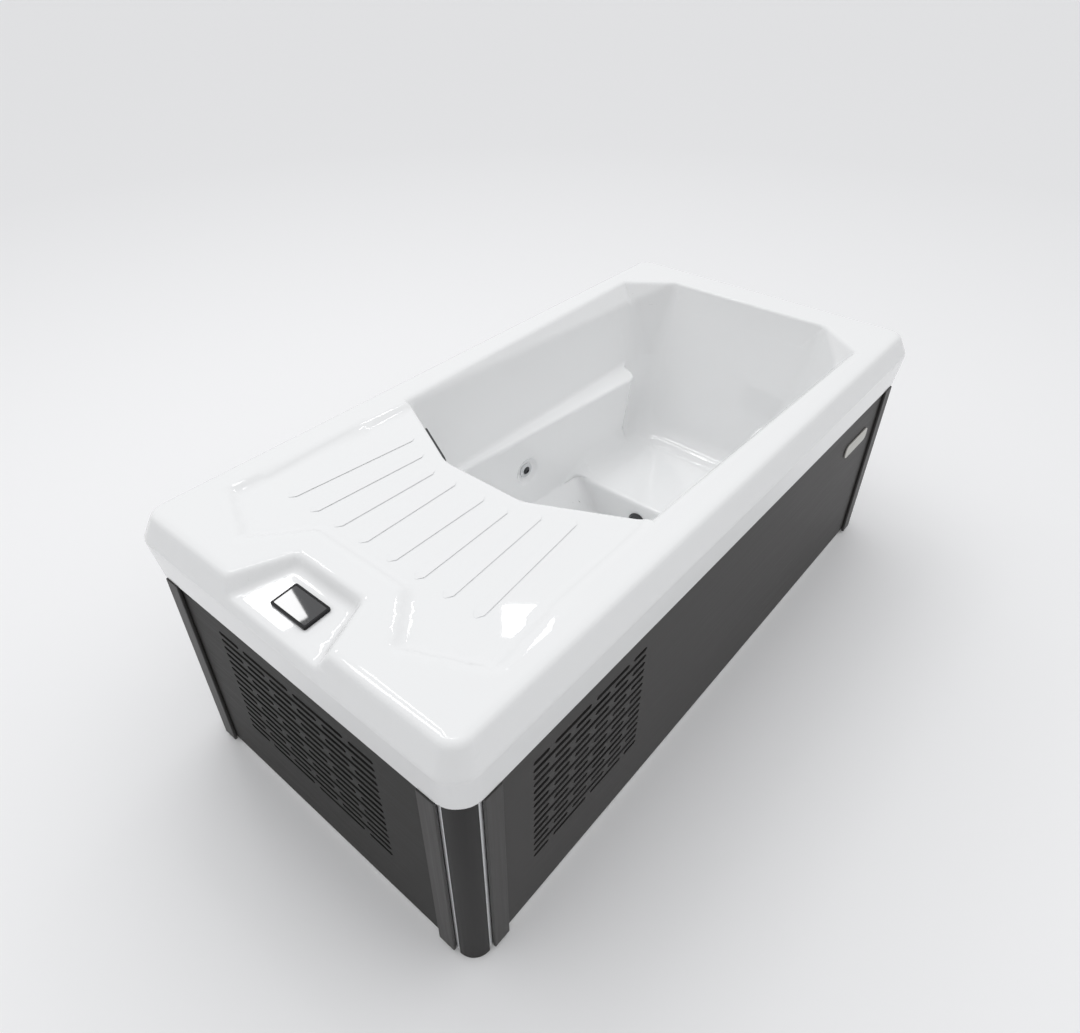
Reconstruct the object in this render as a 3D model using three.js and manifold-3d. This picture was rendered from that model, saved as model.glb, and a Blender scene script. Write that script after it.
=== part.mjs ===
// Cold plunge tub: a moulded acrylic shell with a deck, a seat and a foot well, on a panelled cabinet that
// holds the chiller, the pump and the filter under the deck. Millimetres, +Z up. The origin is on the floor
// under the middle of the tub, X runs along the tub from the deck to the seat, Y runs across it.
import * as THREE from 'three';
import { mergeVertices } from 'three/addons/utils/BufferGeometryUtils.js';
import { ConvexGeometry } from 'three/addons/geometries/ConvexGeometry.js';
import Module from 'manifold-3d';

// Fits
const GAP = 0.3; // between two pieces that touch
const REVEAL = 1; // shadow line between the skirt and the rim

// Shell, rim
const LENGTH_TOP = 2000; // top edge of the rim along X
const WIDTH_TOP = 976; // top edge of the rim along Y
const HEIGHT = 754;
const RIM_BAND = 163; // height of the rim's outer face
const RIM_FLARE = 28; // how far the rim's widest line stands out from its top edge
const RIM_FLARE_DROP = 62; // depth of the widest line below the top
const RIM_TUCK = 9; // how far the lower edge goes back in
const RIM_RADIUS_TOP = 42;
const RIM_RADIUS_WIDE = 58;
const RIM_RADIUS_LOW = 66;
const EDGE_ROUND = 14; // rounding of the top outer edge
const WALL = 8; // laminate thickness
const DECK_DROP = 12; // deck tray below the rim top
const DECK_THICKNESS = 12;
const DECK_SIDE_LAND = 64; // rim's top edge to the tray's rear corners
const DECK_CORNER = 166; // end edge to the tray's rear corners
const DECK_TIP = 83; // end edge to the tray's tips beside the recess
const DECK_TIP_LAND = 77; // recess mouth to those tips
const RECESS_LAND = 66; // strip between the recess and the tray
const RECESS_LAND_SIDE = 28;

// Shell, basin seen from above
const DECK_LENGTH = 587; // end edge to the middle of the deck's lip
const LIP_HALF = 125; // half of the lip's straight middle
const LIP_SLANT = 128; // length along X of the lip's slanted sides
const SIDE_RIM = 101; // top width of the long rims at the deck
const END_RIM = 115; // top width of the rim behind the seat
const CORNER_CUT = 110; // chamfered back corners
const BEVEL_FLARE = 37; // the side bevels open this far towards the seat
const BEVEL_DROP = 56; // and go this deep
const SIDE_OPEN = 10; // how far outside the deck's width the side walls aim at the rim
const SIDE_DRAFT = 0.307;
const CORNER_DRAFT = 0.276;
const END_DRAFT = 0.35;
const DECK_END_DRAFT = 0.12;
const CORNER_ROUND = 30; // upright corners of the basin
const LIP_ROUND = 16; // rounded upper edge of the basin

// Shell, basin levels
const ARM_DROP = 243; // arm rests below the rim top
const ARM_WIDTH_FOOT = 13; // arm rest at the deck end
const ARM_WIDTH = 82; // arm rest at its end beside the sitter
const ARM_SETBACK = 63; // end of the arm rests to the seat's back
const ARM_ROUND = 12; // rounded inner edge of the arm rests
const SHOULDER_CUT = 50; // chamfered corners of the seat's back, at the seat
const SHOULDER_LEAN = 10; // slope of the arm rests' ends
const LOWER_DRAFT = 0.03;
const SEAT_HEIGHT = 235; // above the floor the tub stands on
const SEAT_DEPTH = 385;
const SEAT_ROUND = 12; // rounded front edge of the seat
const WELL_FLOOR = 108;
const WELL_CHAMFER = 50; // sloped strip between the foot well's walls and its bottom
const WELL_CHAMFER_FOOT = 80; // the same where the well widens towards the deck

// Control recess in the deck
const RECESS_LENGTH = 139; // end edge to the recess's inner wall
const RECESS_INNER_HALF = 107;
const RECESS_MOUTH_HALF = 165;
const RECESS_DEPTH_INNER = 26;
const RECESS_DEPTH_MOUTH = 37;
const RECESS_DRAFT = 10;
const CONTROL_X = 67;
const CONTROL_Y = 112;
const CONTROL_SETBACK = 59; // end edge to the control's middle
const BEZEL_HEIGHT = 7;
const BEZEL_BORDER = 5;
const GLASS_HEIGHT = 5;
const BEZEL_ROUND = 5;
const GLASS_ROUND = 3;

// Raised ribs on the deck
const RIB_WIDTH = 12;
const RIB_HEIGHT = 3;
const RIB_COUNT = 4; // on each side
const RIB_PITCH = 84; // at the control end
const RIB_PITCH_LIP = 72; // at the lip end
const RIB_FIRST = 46;
const RIB_MARGIN = 44; // free strip at both ends of the ribs

// Skirt
const PANEL_SETBACK = 6; // rim's lower edge to the panels' face
const PANEL_THICKNESS = 14;
const POST_RADIUS = 46;
const POST_WALL = 6;
const POST_FOOT = 2; // posts stop this far above the floor
const TRIM_WIDTH = 9;
const TRIM_PROUD = 1;
const BATTEN_WIDTH = 47;
const BATTEN_PROUD = 9;
const BATTEN_ROUND = 2;
const BATTEN_FOOT = 12; // battens stop this far above the floor
const PAN_HEIGHT = 20;
const PAN_INSET = 6; // pan edge behind the panels' face
const VENT_PITCH = 24.2;
const VENT_FIRST = 188; // height of the lowest row
const VENT_MARGIN = 50; // free strip above the vents
const VENT_SLOT = 12; // slot height
const VENT_BRIDGE = 15; // material between two slots of a row
const VENT_END_SLOT = 180; // slot spacing on the end panel
const VENT_END_HALF = 265;
const VENT_SIDE_SLOT = 136; // slot spacing on the side panel
const VENT_SIDE_HALF = 195;
const VENT_SIDE_OFFSET = 140; // panel edge to the vent field
const BADGE_LENGTH = 165;
const BADGE_HEIGHT = 46;
const BADGE_THICKNESS = 5;
const BADGE_FROM_END = 205; // panel edge to the badge's middle
const BADGE_DROP = 117; // rim's lower edge to the badge's middle

// Inner frame
const TUBE = 36;
const TUBE_WALL = 3;

// Basin fittings
const JET_FROM_LIP = 489; // lip to the jet
const JET_DROP = 137; // arm rest to the jet's middle
const JET_DISH_RADIUS = 53; // at the wall
const JET_DISH_FLAT = 34; // at the bottom
const JET_DISH_DEPTH = 11;
const JET_BORE = 17;
const JET_FLANGE = 25;
const JET_BALL = 13;
const JET_CLEARANCE = 0.6; // round the ball
const JET_SPOUT = 5; // the ball's bore
const JET_FACE = 6; // height of the flange
const JET_EDGE = 4; // height of the flange's edge
const JET_NUT_SEAT = 2; // wall to the nut behind it
const JET_NUT = 12; // height of the nut
const JET_TAIL = 22; // length of the hose tail
const SUCTION_LEVEL = 162;
const SUCTION_RADIUS = 40;
const SUCTION_STEM = 21;
const SUCTION_STEM_LENGTH = 16; // stem behind the wall's face
const SUCTION_EDGE = 4;
const SUCTION_CROWN = 11;
const SUCTION_GROOVE = 3; // depth of the ring groove
const SUCTION_BAND = 7; // width of the groove and of the slopes beside it
const SKIMMER_WIDTH = 170;
const SKIMMER_HEIGHT = 110;
const SKIMMER_THICKNESS = 16;
const SKIMMER_DROP = 90; // deck to the skimmer's middle
const SKIMMER_ROUND = 14;
const SKIMMER_SLOTS = 5;
const SKIMMER_SLOT = 10; // slot height
const SKIMMER_SLOT_PITCH = 18;
const SKIMMER_FRAME = 20; // plate edge to the slots' ends

// Equipment under the deck
const TRAY_HEIGHT = 8;
const TRAY_LENGTH = 300;
const TRAY_WIDTH = 420;
const TRAY_ROUND = 20;
const SHROUD_HALF = 180;
const SHROUD_HEIGHT = 520;
const SHROUD_PLATE = 12;
const SHROUD_FROM_FRAME = 60;
const FAN_LEVEL = 330;
const FAN_RADIUS = 138;
const FAN_HUB = 42;
const FAN_DEPTH = 34;
const FAN_CLEARANCE = 3; // hub to the shroud's spider
const BLADE_ROOT = 46; // chords of a blade
const BLADE_TIP = 84;
const BLADE_PITCH = 0.36;
const BLADE_THICKNESS = 2;
const BLADE_SEAT = 6; // root of a blade inside the hub
const FAN_BLADES = 7;
const FAN_RING = 150;
const FAN_RING_WALL = 5;
const SPOKE_WIDTH = 28;
const SPOKE_SEAT = 3; // spokes reach this far into the ring
const CONDENSER_DEPTH = 46;
const CONDENSER_FINS = 18;
const CONDENSER_HEADER = 8;
const CONDENSER_INSET = 10; // shroud edge to the outer fins
const COMPRESSOR_RADIUS = 72;
const COMPRESSOR_HEIGHT = 236;
const COMPRESSOR_FOOT = 8; // height and overhang of the foot plate
const COMPRESSOR_WAIST = 10; // how far the body draws in over the foot
const COMPRESSOR_SEAM = 3; // height of the welded seam
const COMPRESSOR_DOME = 50; // height of the dome above the seam
const COMPRESSOR_FROM_EDGE = 20; // tray edge to the foot plate
const PUMP_FROM_SIDE = 122; // side frame to the pump's axis
const PUMP_AXIS = 112; // height above the floor
const PUMP_MOTOR_RADIUS = 60;
const PUMP_MOTOR_LENGTH = 190;
const PUMP_VOLUTE_RADIUS = 82;
const PUMP_VOLUTE_LENGTH = 78;
const PUMP_FROM_FRAME = 30;
const PUMP_FOOT = 14; // how far the feet reach up round the round bodies
const PUMP_FOOT_LENGTH = 95;
const MOTOR_FINS = 6;
const MOTOR_FIN_PITCH = 24;
const MOTOR_FIN_DEPTH = 6;
const MOTOR_GROOVE = 15;
const MOTOR_CHAMFER = 10;
const VOLUTE_CASE = 44; // length of the round case
const VOLUTE_SHOULDER = 14; // length of its slope to the inlet
const VOLUTE_CHAMFER = 8;
const VOLUTE_FOOT_WIDTH = 100;
const SOCKET_WALL = 8; // pipe sockets of the pump
const OUTLET_RISE = 16; // outlet above the case
const PIPE_RADIUS = 18;
const PIPE_BEND = 44;
const JET_RUN = 45; // from the jet's hose tail to the pipe that runs along the tub
const SUCTION_CLEARANCE = 26; // suction pipe to the foot well's outside
const VALVE_FROM_LIP = 27; // drain valve before the deck's lip
const VALVE_RADIUS = 18;
const VALVE_SPINDLE = 26;
const VALVE_SPINDLE_RADIUS = 8;
const VALVE_NECK = 6; // depth of the necks
const VALVE_NUT = 6; // height of the end nuts
const VALVE_SLOPE = 5; // height of each slope between nut, neck and body
const LEVER_LENGTH = 74;
const LEVER_WIDTH = 18;
const LEVER_THICKNESS = 7;
const LEVER_ROUND = 5;
const FILTER_RADIUS = 66;
const FILTER_HEIGHT = 430;
const FILTER_COLLAR = 60;
const INLET_RISE = 25; // pump outlet to the filter's inlet
const FILTER_FROM_PUMP = 118; // pump outlet to the filter's wall
const COOLER_RADIUS = 55;
const COOLER_HEIGHT = 350;
const COOLER_COLLAR = 20;
const COOLER_FROM_FILTER = 100;
const CANISTER_STEP = 4; // collar over the body
const CANISTER_CHAMFER = 10;
const CANISTER_DOME = 30;
const BOX_LENGTH = 260;
const BOX_DEPTH = 88;
const BOX_HEIGHT = 190;
const BOX_ROUND = 12;
const GLAND_RADIUS = 15;
const GLAND_BORE = 6;
const GLAND_COLLAR = 8; // height of the collar and of the cap nut
const GLAND_LENGTH = 31;

const wasm = await Module();
wasm.setup();

const up = new THREE.Vector3(0, 0, 1);
const part = new THREE.Group();

// A closed geometry as a solid for joining and cutting.
function solid(geometry) {
  const bare = geometry.clone();
  bare.deleteAttribute('normal');
  bare.deleteAttribute('uv');
  const merged = mergeVertices(bare, 1e-4);
  const index = merged.index.array;
  const triangles = [];
  for (let i = 0; i < index.length; i += 3) {
    const [a, b, c] = [index[i], index[i + 1], index[i + 2]];
    if (a !== b && b !== c && c !== a) triangles.push(a, b, c);
  }
  return new wasm.Manifold(new wasm.Mesh({
    numProp: 3,
    vertProperties: new Float32Array(merged.attributes.position.array),
    triVerts: new Uint32Array(triangles),
  }));
}

// The geometry of a solid.
function surface(body) {
  const mesh = body.getMesh();
  const geometry = new THREE.BufferGeometry();
  geometry.setAttribute('position', new THREE.BufferAttribute(mesh.vertProperties, 3));
  geometry.setIndex(new THREE.BufferAttribute(mesh.triVerts, 1));
  geometry.computeVertexNormals();
  return geometry;
}

const join = (...bodies) => bodies.reduce((sum, body) => sum.add(body));
const cut = (body, ...tools) => tools.reduce((rest, tool) => rest.subtract(tool), body);

// A named piece with its own finish.
function piece(name, geometry, color, roughness, metalness = 0) {
  const material = new THREE.MeshStandardMaterial({ color, roughness, metalness });
  const mesh = new THREE.Mesh(geometry, material);
  mesh.name = name;
  part.add(mesh);
  return mesh;
}

const WHITE = [0xf1f2f2, 0.12];
const CHARCOAL = [0x4a4948, 0.6];
const BLACK = [0x161617, 0.5];
const ALUMINIUM = [0xc9cbcc, 0.32, 1];
const PALE = [0xd8d8d4, 0.6];
const STEEL = [0x8d9094, 0.45, 1];
const PIPE_GREY = [0xb9bcbe, 0.5];

// A closed skin over rings of the same number of points. Each cap is a fan, or what capOf gives.
function skin(rings, capOf = (ring) => ring.slice(2).map((_, i) => [0, i + 1, i + 2])) {
  const count = rings[0].length;
  const top = (rings.length - 1) * count;
  const index = [];
  for (let level = 0; level < rings.length - 1; level++) {
    for (let i = 0; i < count; i++) {
      const a = level * count + i;
      const b = level * count + ((i + 1) % count);
      index.push(a, b, b + count, a, b + count, a + count);
    }
  }
  capOf(rings[0]).forEach(([a, b, c]) => index.push(a, c, b));
  capOf(rings.at(-1)).forEach(([a, b, c]) => index.push(top + a, top + b, top + c));
  const geometry = new THREE.BufferGeometry();
  geometry.setFromPoints(rings.flat());
  geometry.setIndex(index);
  return geometry;
}

// A solid between level outlines, listed upwards, each anticlockwise from above.
function loft(rings) {
  const flat = (ring) => ring.map((p) => new THREE.Vector2(p.x, p.y));
  return skin(rings, (ring) => THREE.ShapeUtils.triangulateShape(flat(ring), []));
}

const lift = (points, z) => points.map((p) => new THREE.Vector3(p.x, p.y, z));

// The corners of an outline replaced by arcs.
function rounded(corners, radius, steps) {
  const result = [];
  corners.forEach((corner, i) => {
    const toLast = corners.at(i - 1).clone().sub(corner);
    const toNext = corners[(i + 1) % corners.length].clone().sub(corner);
    const half = Math.abs(toLast.angleTo(toNext)) / 2;
    const reach = Math.min(radius / Math.tan(half), 0.45 * toLast.length(), 0.45 * toNext.length());
    const start = corner.clone().addScaledVector(toLast.normalize(), reach);
    const end = corner.clone().addScaledVector(toNext.normalize(), reach);
    const bend = new THREE.QuadraticBezierCurve(start, corner, end);
    result.push(...bend.getPoints(steps));
  });
  return result;
}

function rectangle(halfX, halfY) {
  return [[1, -1], [1, 1], [-1, 1], [-1, -1]].map(([x, y]) => new THREE.Vector2(x * halfX, y * halfY));
}

// The corners where neighbouring edges meet, each edge given by its outward direction and its distance.
function outline(edges) {
  return edges.map((edge, i) => {
    const next = edges[(i + 1) % edges.length];
    const det = edge.x * next.y - edge.y * next.x;
    const x = (edge.d * next.y - edge.y * next.d) / det;
    const y = (edge.x * next.d - edge.d * next.x) / det;
    return new THREE.Vector2(x, y);
  });
}

// An edge of an outline through two points, anticlockwise.
function edgeThrough(p, q) {
  const normal = new THREE.Vector2(q.y - p.y, p.x - q.x).normalize();
  return { x: normal.x, y: normal.y, d: normal.dot(p) };
}

// Edges of one half mirrored to the other side of the X axis, from the seat end to the deck end.
function bothSides(edges) {
  const mirrored = edges.slice(1, -1).reverse().map(({ x, y, d }) => ({ x, y: -y, d }));
  return [...edges, ...mirrored];
}

function shapeOf(points, holes = []) {
  const shape = new THREE.Shape(points);
  shape.holes = holes.map((hole) => new THREE.Path(hole));
  return shape;
}

const prism = (points, depth, holes = []) =>
  new THREE.ExtrudeGeometry(shapeOf(points, holes), { depth, bevelEnabled: false });

const box = (x0, x1, y0, y1, z0, z1) =>
  new THREE.BoxGeometry(x1 - x0, y1 - y0, z1 - z0).translate((x0 + x1) / 2, (y0 + y1) / 2, (z0 + z1) / 2);

// A revolved piece about Z, its profile given as radius and height pairs.
const revolve = (profile, segments = 24) =>
  new THREE.LatheGeometry(profile.map(([r, h]) => new THREE.Vector2(r, h)), segments).rotateX(Math.PI / 2);

// A pipe along straight runs joined by bends.
function pipe(corners, radius = PIPE_RADIUS, bend = PIPE_BEND) {
  const path = new THREE.CurvePath();
  let last = corners[0];
  for (let i = 1; i < corners.length - 1; i++) {
    const back = corners[i - 1].clone().sub(corners[i]);
    const on = corners[i + 1].clone().sub(corners[i]);
    const reach = Math.min(bend, 0.48 * back.length(), 0.48 * on.length());
    const start = corners[i].clone().addScaledVector(back.normalize(), reach);
    const end = corners[i].clone().addScaledVector(on.normalize(), reach);
    path.add(new THREE.LineCurve3(last, start));
    path.add(new THREE.QuadraticBezierCurve3(start, corners[i], end));
    last = end;
  }
  path.add(new THREE.LineCurve3(last, corners.at(-1)));
  const stations = [path.curves[0].getPoint(0)];
  path.curves.forEach((curve) => {
    const count = curve.isLineCurve3 ? 1 : 4;
    stations.push(...curve.getPoints(count).slice(1));
  });
  const sides = 8;
  let side = new THREE.Vector3(0, 0, 1);
  const rings = stations.map((p, i) => {
    const ahead = stations[Math.min(i + 1, stations.length - 1)].clone();
    const along = ahead.sub(stations[Math.max(i - 1, 0)]).normalize();
    if (Math.abs(side.dot(along)) > 0.95) side = new THREE.Vector3(1, 0, 0);
    side = side.clone().addScaledVector(along, -side.dot(along)).normalize();
    const across = along.clone().cross(side);
    return Array.from({ length: sides }, (_, k) => {
      const angle = (2 * Math.PI * k) / sides;
      const arm = side.clone().multiplyScalar(Math.cos(angle)).addScaledVector(across, Math.sin(angle));
      return p.clone().addScaledVector(arm, radius);
    });
  });
  return skin(rings);
}

const at = (x, y, z) => new THREE.Vector3(x, y, z);

// Main planes
const endX = LENGTH_TOP / 2;
const sideY = WIDTH_TOP / 2;
const rimLow = HEIGHT - RIM_BAND;
const deckTop = HEIGHT - DECK_DROP;
const deckUnder = deckTop - DECK_THICKNESS;
const lowX = endX + RIM_FLARE - RIM_TUCK;
const lowY = sideY + RIM_FLARE - RIM_TUCK;
const panelX = lowX - PANEL_SETBACK;
const panelY = lowY - PANEL_SETBACK;
const panelTop = rimLow - REVEAL;
const frameX = panelX - PANEL_THICKNESS - GAP;
const frameY = panelY - PANEL_THICKNESS - GAP;
const armLevel = HEIGHT - ARM_DROP;
const lipX = DECK_LENGTH - endX;
const backX = endX - END_RIM;
const basinY = sideY - SIDE_RIM;

// The rim's outside, or its inside when it is shrunk by the wall.
function rimBody(shrink, top) {
  const ring = (grow, radius, z) =>
    lift(rounded(rectangle(endX + grow - shrink, sideY + grow - shrink), radius, 6), z);
  const flareAt = (z) => RIM_FLARE * Math.min(1, (HEIGHT - z) / RIM_FLARE_DROP);
  const rings = [
    ring(RIM_FLARE - RIM_TUCK, RIM_RADIUS_LOW, shrink ? rimLow - REVEAL : rimLow),
    ring(RIM_FLARE, RIM_RADIUS_WIDE, HEIGHT - RIM_FLARE_DROP),
  ];
  if (shrink) {
    rings.push(ring(flareAt(top), RIM_RADIUS_TOP, top));
  } else {
    const foot = HEIGHT - EDGE_ROUND;
    rings.push(ring(flareAt(foot), RIM_RADIUS_TOP, foot));
    for (const [inward, down] of QUARTER.slice(1)) {
      rings.push(ring(flareAt(foot) - EDGE_ROUND * inward, RIM_RADIUS_TOP, HEIGHT - EDGE_ROUND * down));
    }
  }
  return solid(loft(rings));
}

// The basin above the arm rests at a given height, its walls moved out by grow.
function upperEdges(z, grow) {
  const depth = HEIGHT - z;
  const corner = edgeThrough(
    new THREE.Vector2(backX, basinY - CORNER_CUT),
    new THREE.Vector2(backX - CORNER_CUT, basinY),
  );
  const slant = edgeThrough(
    new THREE.Vector2(lipX + LIP_SLANT, basinY),
    new THREE.Vector2(lipX, LIP_HALF),
  );
  return bothSides([
    { x: 1, y: 0, d: backX - END_DRAFT * depth + grow },
    { ...corner, d: corner.d - CORNER_DRAFT * depth + grow },
    { x: 0, y: 1, d: basinY + SIDE_OPEN - SIDE_DRAFT * depth + grow },
    { ...slant, d: slant.d - DECK_END_DRAFT * depth + grow },
    { x: -1, y: 0, d: -lipX - DECK_END_DRAFT * depth + grow },
  ]);
}

const seatBackX = backX - END_DRAFT * (HEIGHT - SEAT_HEIGHT);
const riserX = seatBackX - SEAT_DEPTH;
const tipX = seatBackX - ARM_SETBACK;
const deckSide = upperEdges(deckTop, 0)[2].d;

// The basin between the arm rests, which widen all the way to their ends.
function lowerEdges(z, grow, lip = 0) {
  const depth = armLevel - z;
  const upper = upperEdges(armLevel, 0);
  const wall = upper[2].d;
  const [footCorner] = outline([upper[2], upper[3]]);
  const start = new THREE.Vector2(footCorner.x, wall - ARM_WIDTH_FOOT);
  const full = new THREE.Vector2(tipX, wall - ARM_WIDTH);
  const taper = edgeThrough(full, start);
  const [, , , slant, deckEnd] = upperEdges(z, grow);
  return bothSides([
    { x: 1, y: 0, d: backX - END_DRAFT * (HEIGHT - z) + grow },
    { x: 0, y: 1, d: wall - ARM_WIDTH - LOWER_DRAFT * depth + grow + lip },
    { ...taper, d: taper.d - LOWER_DRAFT * depth + grow + lip },
    slant,
    deckEnd,
  ]);
}

// The foot well below the seat.
function wellEdges(grow, narrow, narrowFoot, lip = 0) {
  const [, side, taper, slant, deckEnd] = lowerEdges(SEAT_HEIGHT, 0);
  const move = ({ x, y, d }, inset) => ({ x, y, d: d + grow - inset });
  return bothSides([
    { x: 1, y: 0, d: riserX + grow + lip },
    move(side, narrow),
    move(taper, narrowFoot),
    move(slant, narrow),
    move(deckEnd, narrow),
  ]);
}

const ringOf = (edges, z, round) => lift(rounded(outline(edges), round, 3), z);

// A quarter round, as its steps outwards and downwards.
const QUARTER = [0, 30, 60, 90].map((angle) => {
  const turn = THREE.MathUtils.degToRad(angle);
  return [1 - Math.cos(turn), 1 - Math.sin(turn)];
});

// Everything that the basin leaves open; with grow it is the outside of the laminate instead.
function basinBody(grow, top) {
  const round = CORNER_ROUND + grow;
  const drop = grow;
  const upper = loft([
    ringOf(upperEdges(armLevel, grow), armLevel - drop, round),
    ringOf(upperEdges(top, grow), top, round),
  ]);
  const lower = [ringOf(lowerEdges(SEAT_HEIGHT, grow), SEAT_HEIGHT - drop, round)];
  const well = [
    ringOf(wellEdges(grow, WELL_CHAMFER, WELL_CHAMFER_FOOT), WELL_FLOOR - drop, round),
  ];
  for (const [out, down] of grow ? [[0, 0]] : QUARTER) {
    const armZ = armLevel - ARM_ROUND * down;
    lower.push(ringOf(lowerEdges(armZ, grow, ARM_ROUND * out), armZ, round));
    const seatZ = SEAT_HEIGHT - SEAT_ROUND * down;
    well.push(ringOf(wellEdges(grow, 0, 0, SEAT_ROUND * out), seatZ, round));
  }
  lower.push(lift(lower.at(-1), armLevel + 1));
  well.push(lift(well.at(-1), SEAT_HEIGHT + 1));
  return join(solid(upper), solid(loft(lower)), solid(loft(well)), shoulderBody(grow));
}

// What rounds the deck's lip over into the basin.
function lipBody() {
  const rings = QUARTER.map(([out, down]) => {
    const z = deckTop - LIP_ROUND * down;
    return ringOf(upperEdges(z, LIP_ROUND * out), z, CORNER_ROUND);
  });
  rings.push(ringOf(upperEdges(deckTop, LIP_ROUND), deckTop + 1, CORNER_ROUND));
  const atDeck = box(-endX, lipX + LIP_SLANT, -deckSide, deckSide, armLevel, HEIGHT);
  return solid(loft(rings)).intersect(solid(atDeck));
}

// The wide part of the basin behind the arm rests, beside the sitter's back.
function shoulderBody(grow) {
  const [backTop, cornerTop, sideTop] = upperEdges(armLevel, grow);
  const [backLow, sideLow] = lowerEdges(SEAT_HEIGHT, grow);
  const front = { x: -1, y: 0, d: -tipX + grow };
  const upper = bothSides([backTop, cornerTop, sideTop, front]);
  const lower = bothSides([
    backLow,
    { ...cornerTop, d: cornerTop.x * backLow.d + cornerTop.y * (sideLow.d - SHOULDER_CUT) },
    sideLow,
    { ...front, d: front.d + SHOULDER_LEAN },
  ]);
  const round = CORNER_ROUND + grow;
  return solid(loft([
    ringOf(lower, SEAT_HEIGHT - grow, round),
    ringOf(upper, armLevel + 1, round),
  ]));
}

// The long bevels that open from the deck towards the seat.
function bevelBody(side, grow) {
  const cornerX = backX - CORNER_CUT;
  const [, corner, wall] = upperEdges(HEIGHT - BEVEL_DROP, grow);
  const [foot] = outline([corner, wall]);
  const start = deckSide + grow;
  const high = basinY + BEVEL_FLARE + grow;
  const over = HEIGHT + (grow ? -DECK_DROP : EDGE_ROUND);
  const points = [
    at(lipX + LIP_SLANT, start, deckTop - grow),
    at(lipX + LIP_SLANT, start + 1, over),
    at(foot.x, foot.y, HEIGHT - BEVEL_DROP - grow),
    at(cornerX, high, HEIGHT - grow),
    at(cornerX, high + 1, over),
    at(backX + grow, basinY - CORNER_CUT, HEIGHT - grow),
    at(backX + grow, basinY - CORNER_CUT, over),
    at(foot.x, 0, HEIGHT - BEVEL_DROP - grow),
    at(cornerX, 0, over),
    at(lipX + LIP_SLANT, 0, over),
    at(lipX + LIP_SLANT, 0, deckTop - grow),
  ];
  return solid(new ConvexGeometry(points.map((p) => at(p.x, p.y * side, p.z))));
}

// The recess for the control, open at the end of the tub. Its floor falls towards the mouth.
const recessFall = (RECESS_DEPTH_MOUTH - RECESS_DEPTH_INNER) / (RECESS_LENGTH - RECESS_DRAFT);
function recessBody(grow) {
  const inner = RECESS_LENGTH - endX + grow;
  const mouth = -endX - RIM_FLARE - 1;
  const run = mouth - inner;
  const spread = (RECESS_MOUTH_HALF - RECESS_INNER_HALF) / RECESS_LENGTH;
  const mouthHalf = RECESS_INNER_HALF - run * spread + grow;
  const mouthFloor = HEIGHT - RECESS_DEPTH_INNER + (run + RECESS_DRAFT) * recessFall - grow;
  const top = grow ? deckTop - 1 : HEIGHT + EDGE_ROUND;
  const points = [];
  for (const side of [1, -1]) {
    const innerHalf = RECESS_INNER_HALF + grow;
    points.push(at(inner, side * innerHalf, deckTop - 1));
    points.push(at(inner, side * innerHalf, top));
    points.push(at(mouth, side * mouthHalf, deckTop - 1));
    points.push(at(mouth, side * mouthHalf, top));
    const floorHalf = innerHalf - RECESS_DRAFT;
    points.push(at(inner - RECESS_DRAFT, side * floorHalf, HEIGHT - RECESS_DEPTH_INNER - grow));
    points.push(at(mouth, side * (mouthHalf - RECESS_DRAFT), mouthFloor));
  }
  return solid(new ConvexGeometry(points));
}

// The sunk tray of the deck, which leaves a strip free round the control recess.
function trayBody() {
  const half = [
    [lipX + LIP_SLANT + 1, deckSide],
    [DECK_CORNER - endX, sideY - DECK_SIDE_LAND],
    [DECK_TIP - endX, RECESS_MOUTH_HALF + DECK_TIP_LAND],
    [RECESS_LENGTH + RECESS_LAND - endX, RECESS_INNER_HALF + RECESS_LAND_SIDE],
  ];
  const corners = [
    ...half.map(([x, y]) => new THREE.Vector2(x, y)),
    ...half.reverse().map(([x, y]) => new THREE.Vector2(x, -y)),
  ];
  return solid(prism(rounded(corners, LIP_ROUND, 2), DECK_DROP + EDGE_ROUND).translate(0, 0, deckTop));
}

// Straight drainage ribs that fan from the control end to the lip.
function ribBodies() {
  const ribs = [];
  const ribStart = RECESS_LENGTH + RECESS_LAND + RIB_MARGIN - endX;
  for (const side of [1, -1]) {
    for (let i = 0; i < RIB_COUNT; i++) {
      const start = new THREE.Vector2(ribStart, side * (RIB_FIRST + i * RIB_PITCH));
      const endY = RIB_FIRST + i * RIB_PITCH_LIP;
      const slope = LIP_SLANT / (basinY - LIP_HALF);
      const reach = lipX - RIB_MARGIN + Math.max(0, endY - LIP_HALF) * slope;
      const end = new THREE.Vector2(reach, side * endY);
      const length = start.distanceTo(end);
      const bar = prism(rounded(rectangle(length / 2, RIB_WIDTH / 2), RIB_WIDTH / 2, 3), RIB_HEIGHT + 1);
      bar.rotateZ(Math.atan2(end.y - start.y, end.x - start.x));
      bar.translate((start.x + end.x) / 2, (start.y + end.y) / 2, deckTop - 1);
      ribs.push(solid(bar));
    }
  }
  return ribs;
}

// Jet position on the far wall of the foot well
const jetX = lipX + JET_FROM_LIP;
const jetLevel = armLevel - JET_DROP;
const jetWall = lowerEdges(jetLevel, 0)[2];
const jetTurn = Math.atan2(jetWall.x, jetWall.y);
const jetFront = at(jetX, (jetWall.d - jetWall.x * jetX) / jetWall.y, jetLevel);
const jetAlong = (run) => jetFront.clone().addScaledVector(at(jetWall.x, jetWall.y, 0), JET_DISH_DEPTH + run);
const jetMiddle = jetAlong(0);
const alongY = (geometry) => geometry.rotateX(-Math.PI / 2);
const jetPlace = (geometry) =>
  alongY(geometry).rotateZ(-jetTurn).translate(jetMiddle.x, jetMiddle.y, jetMiddle.z);

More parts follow.
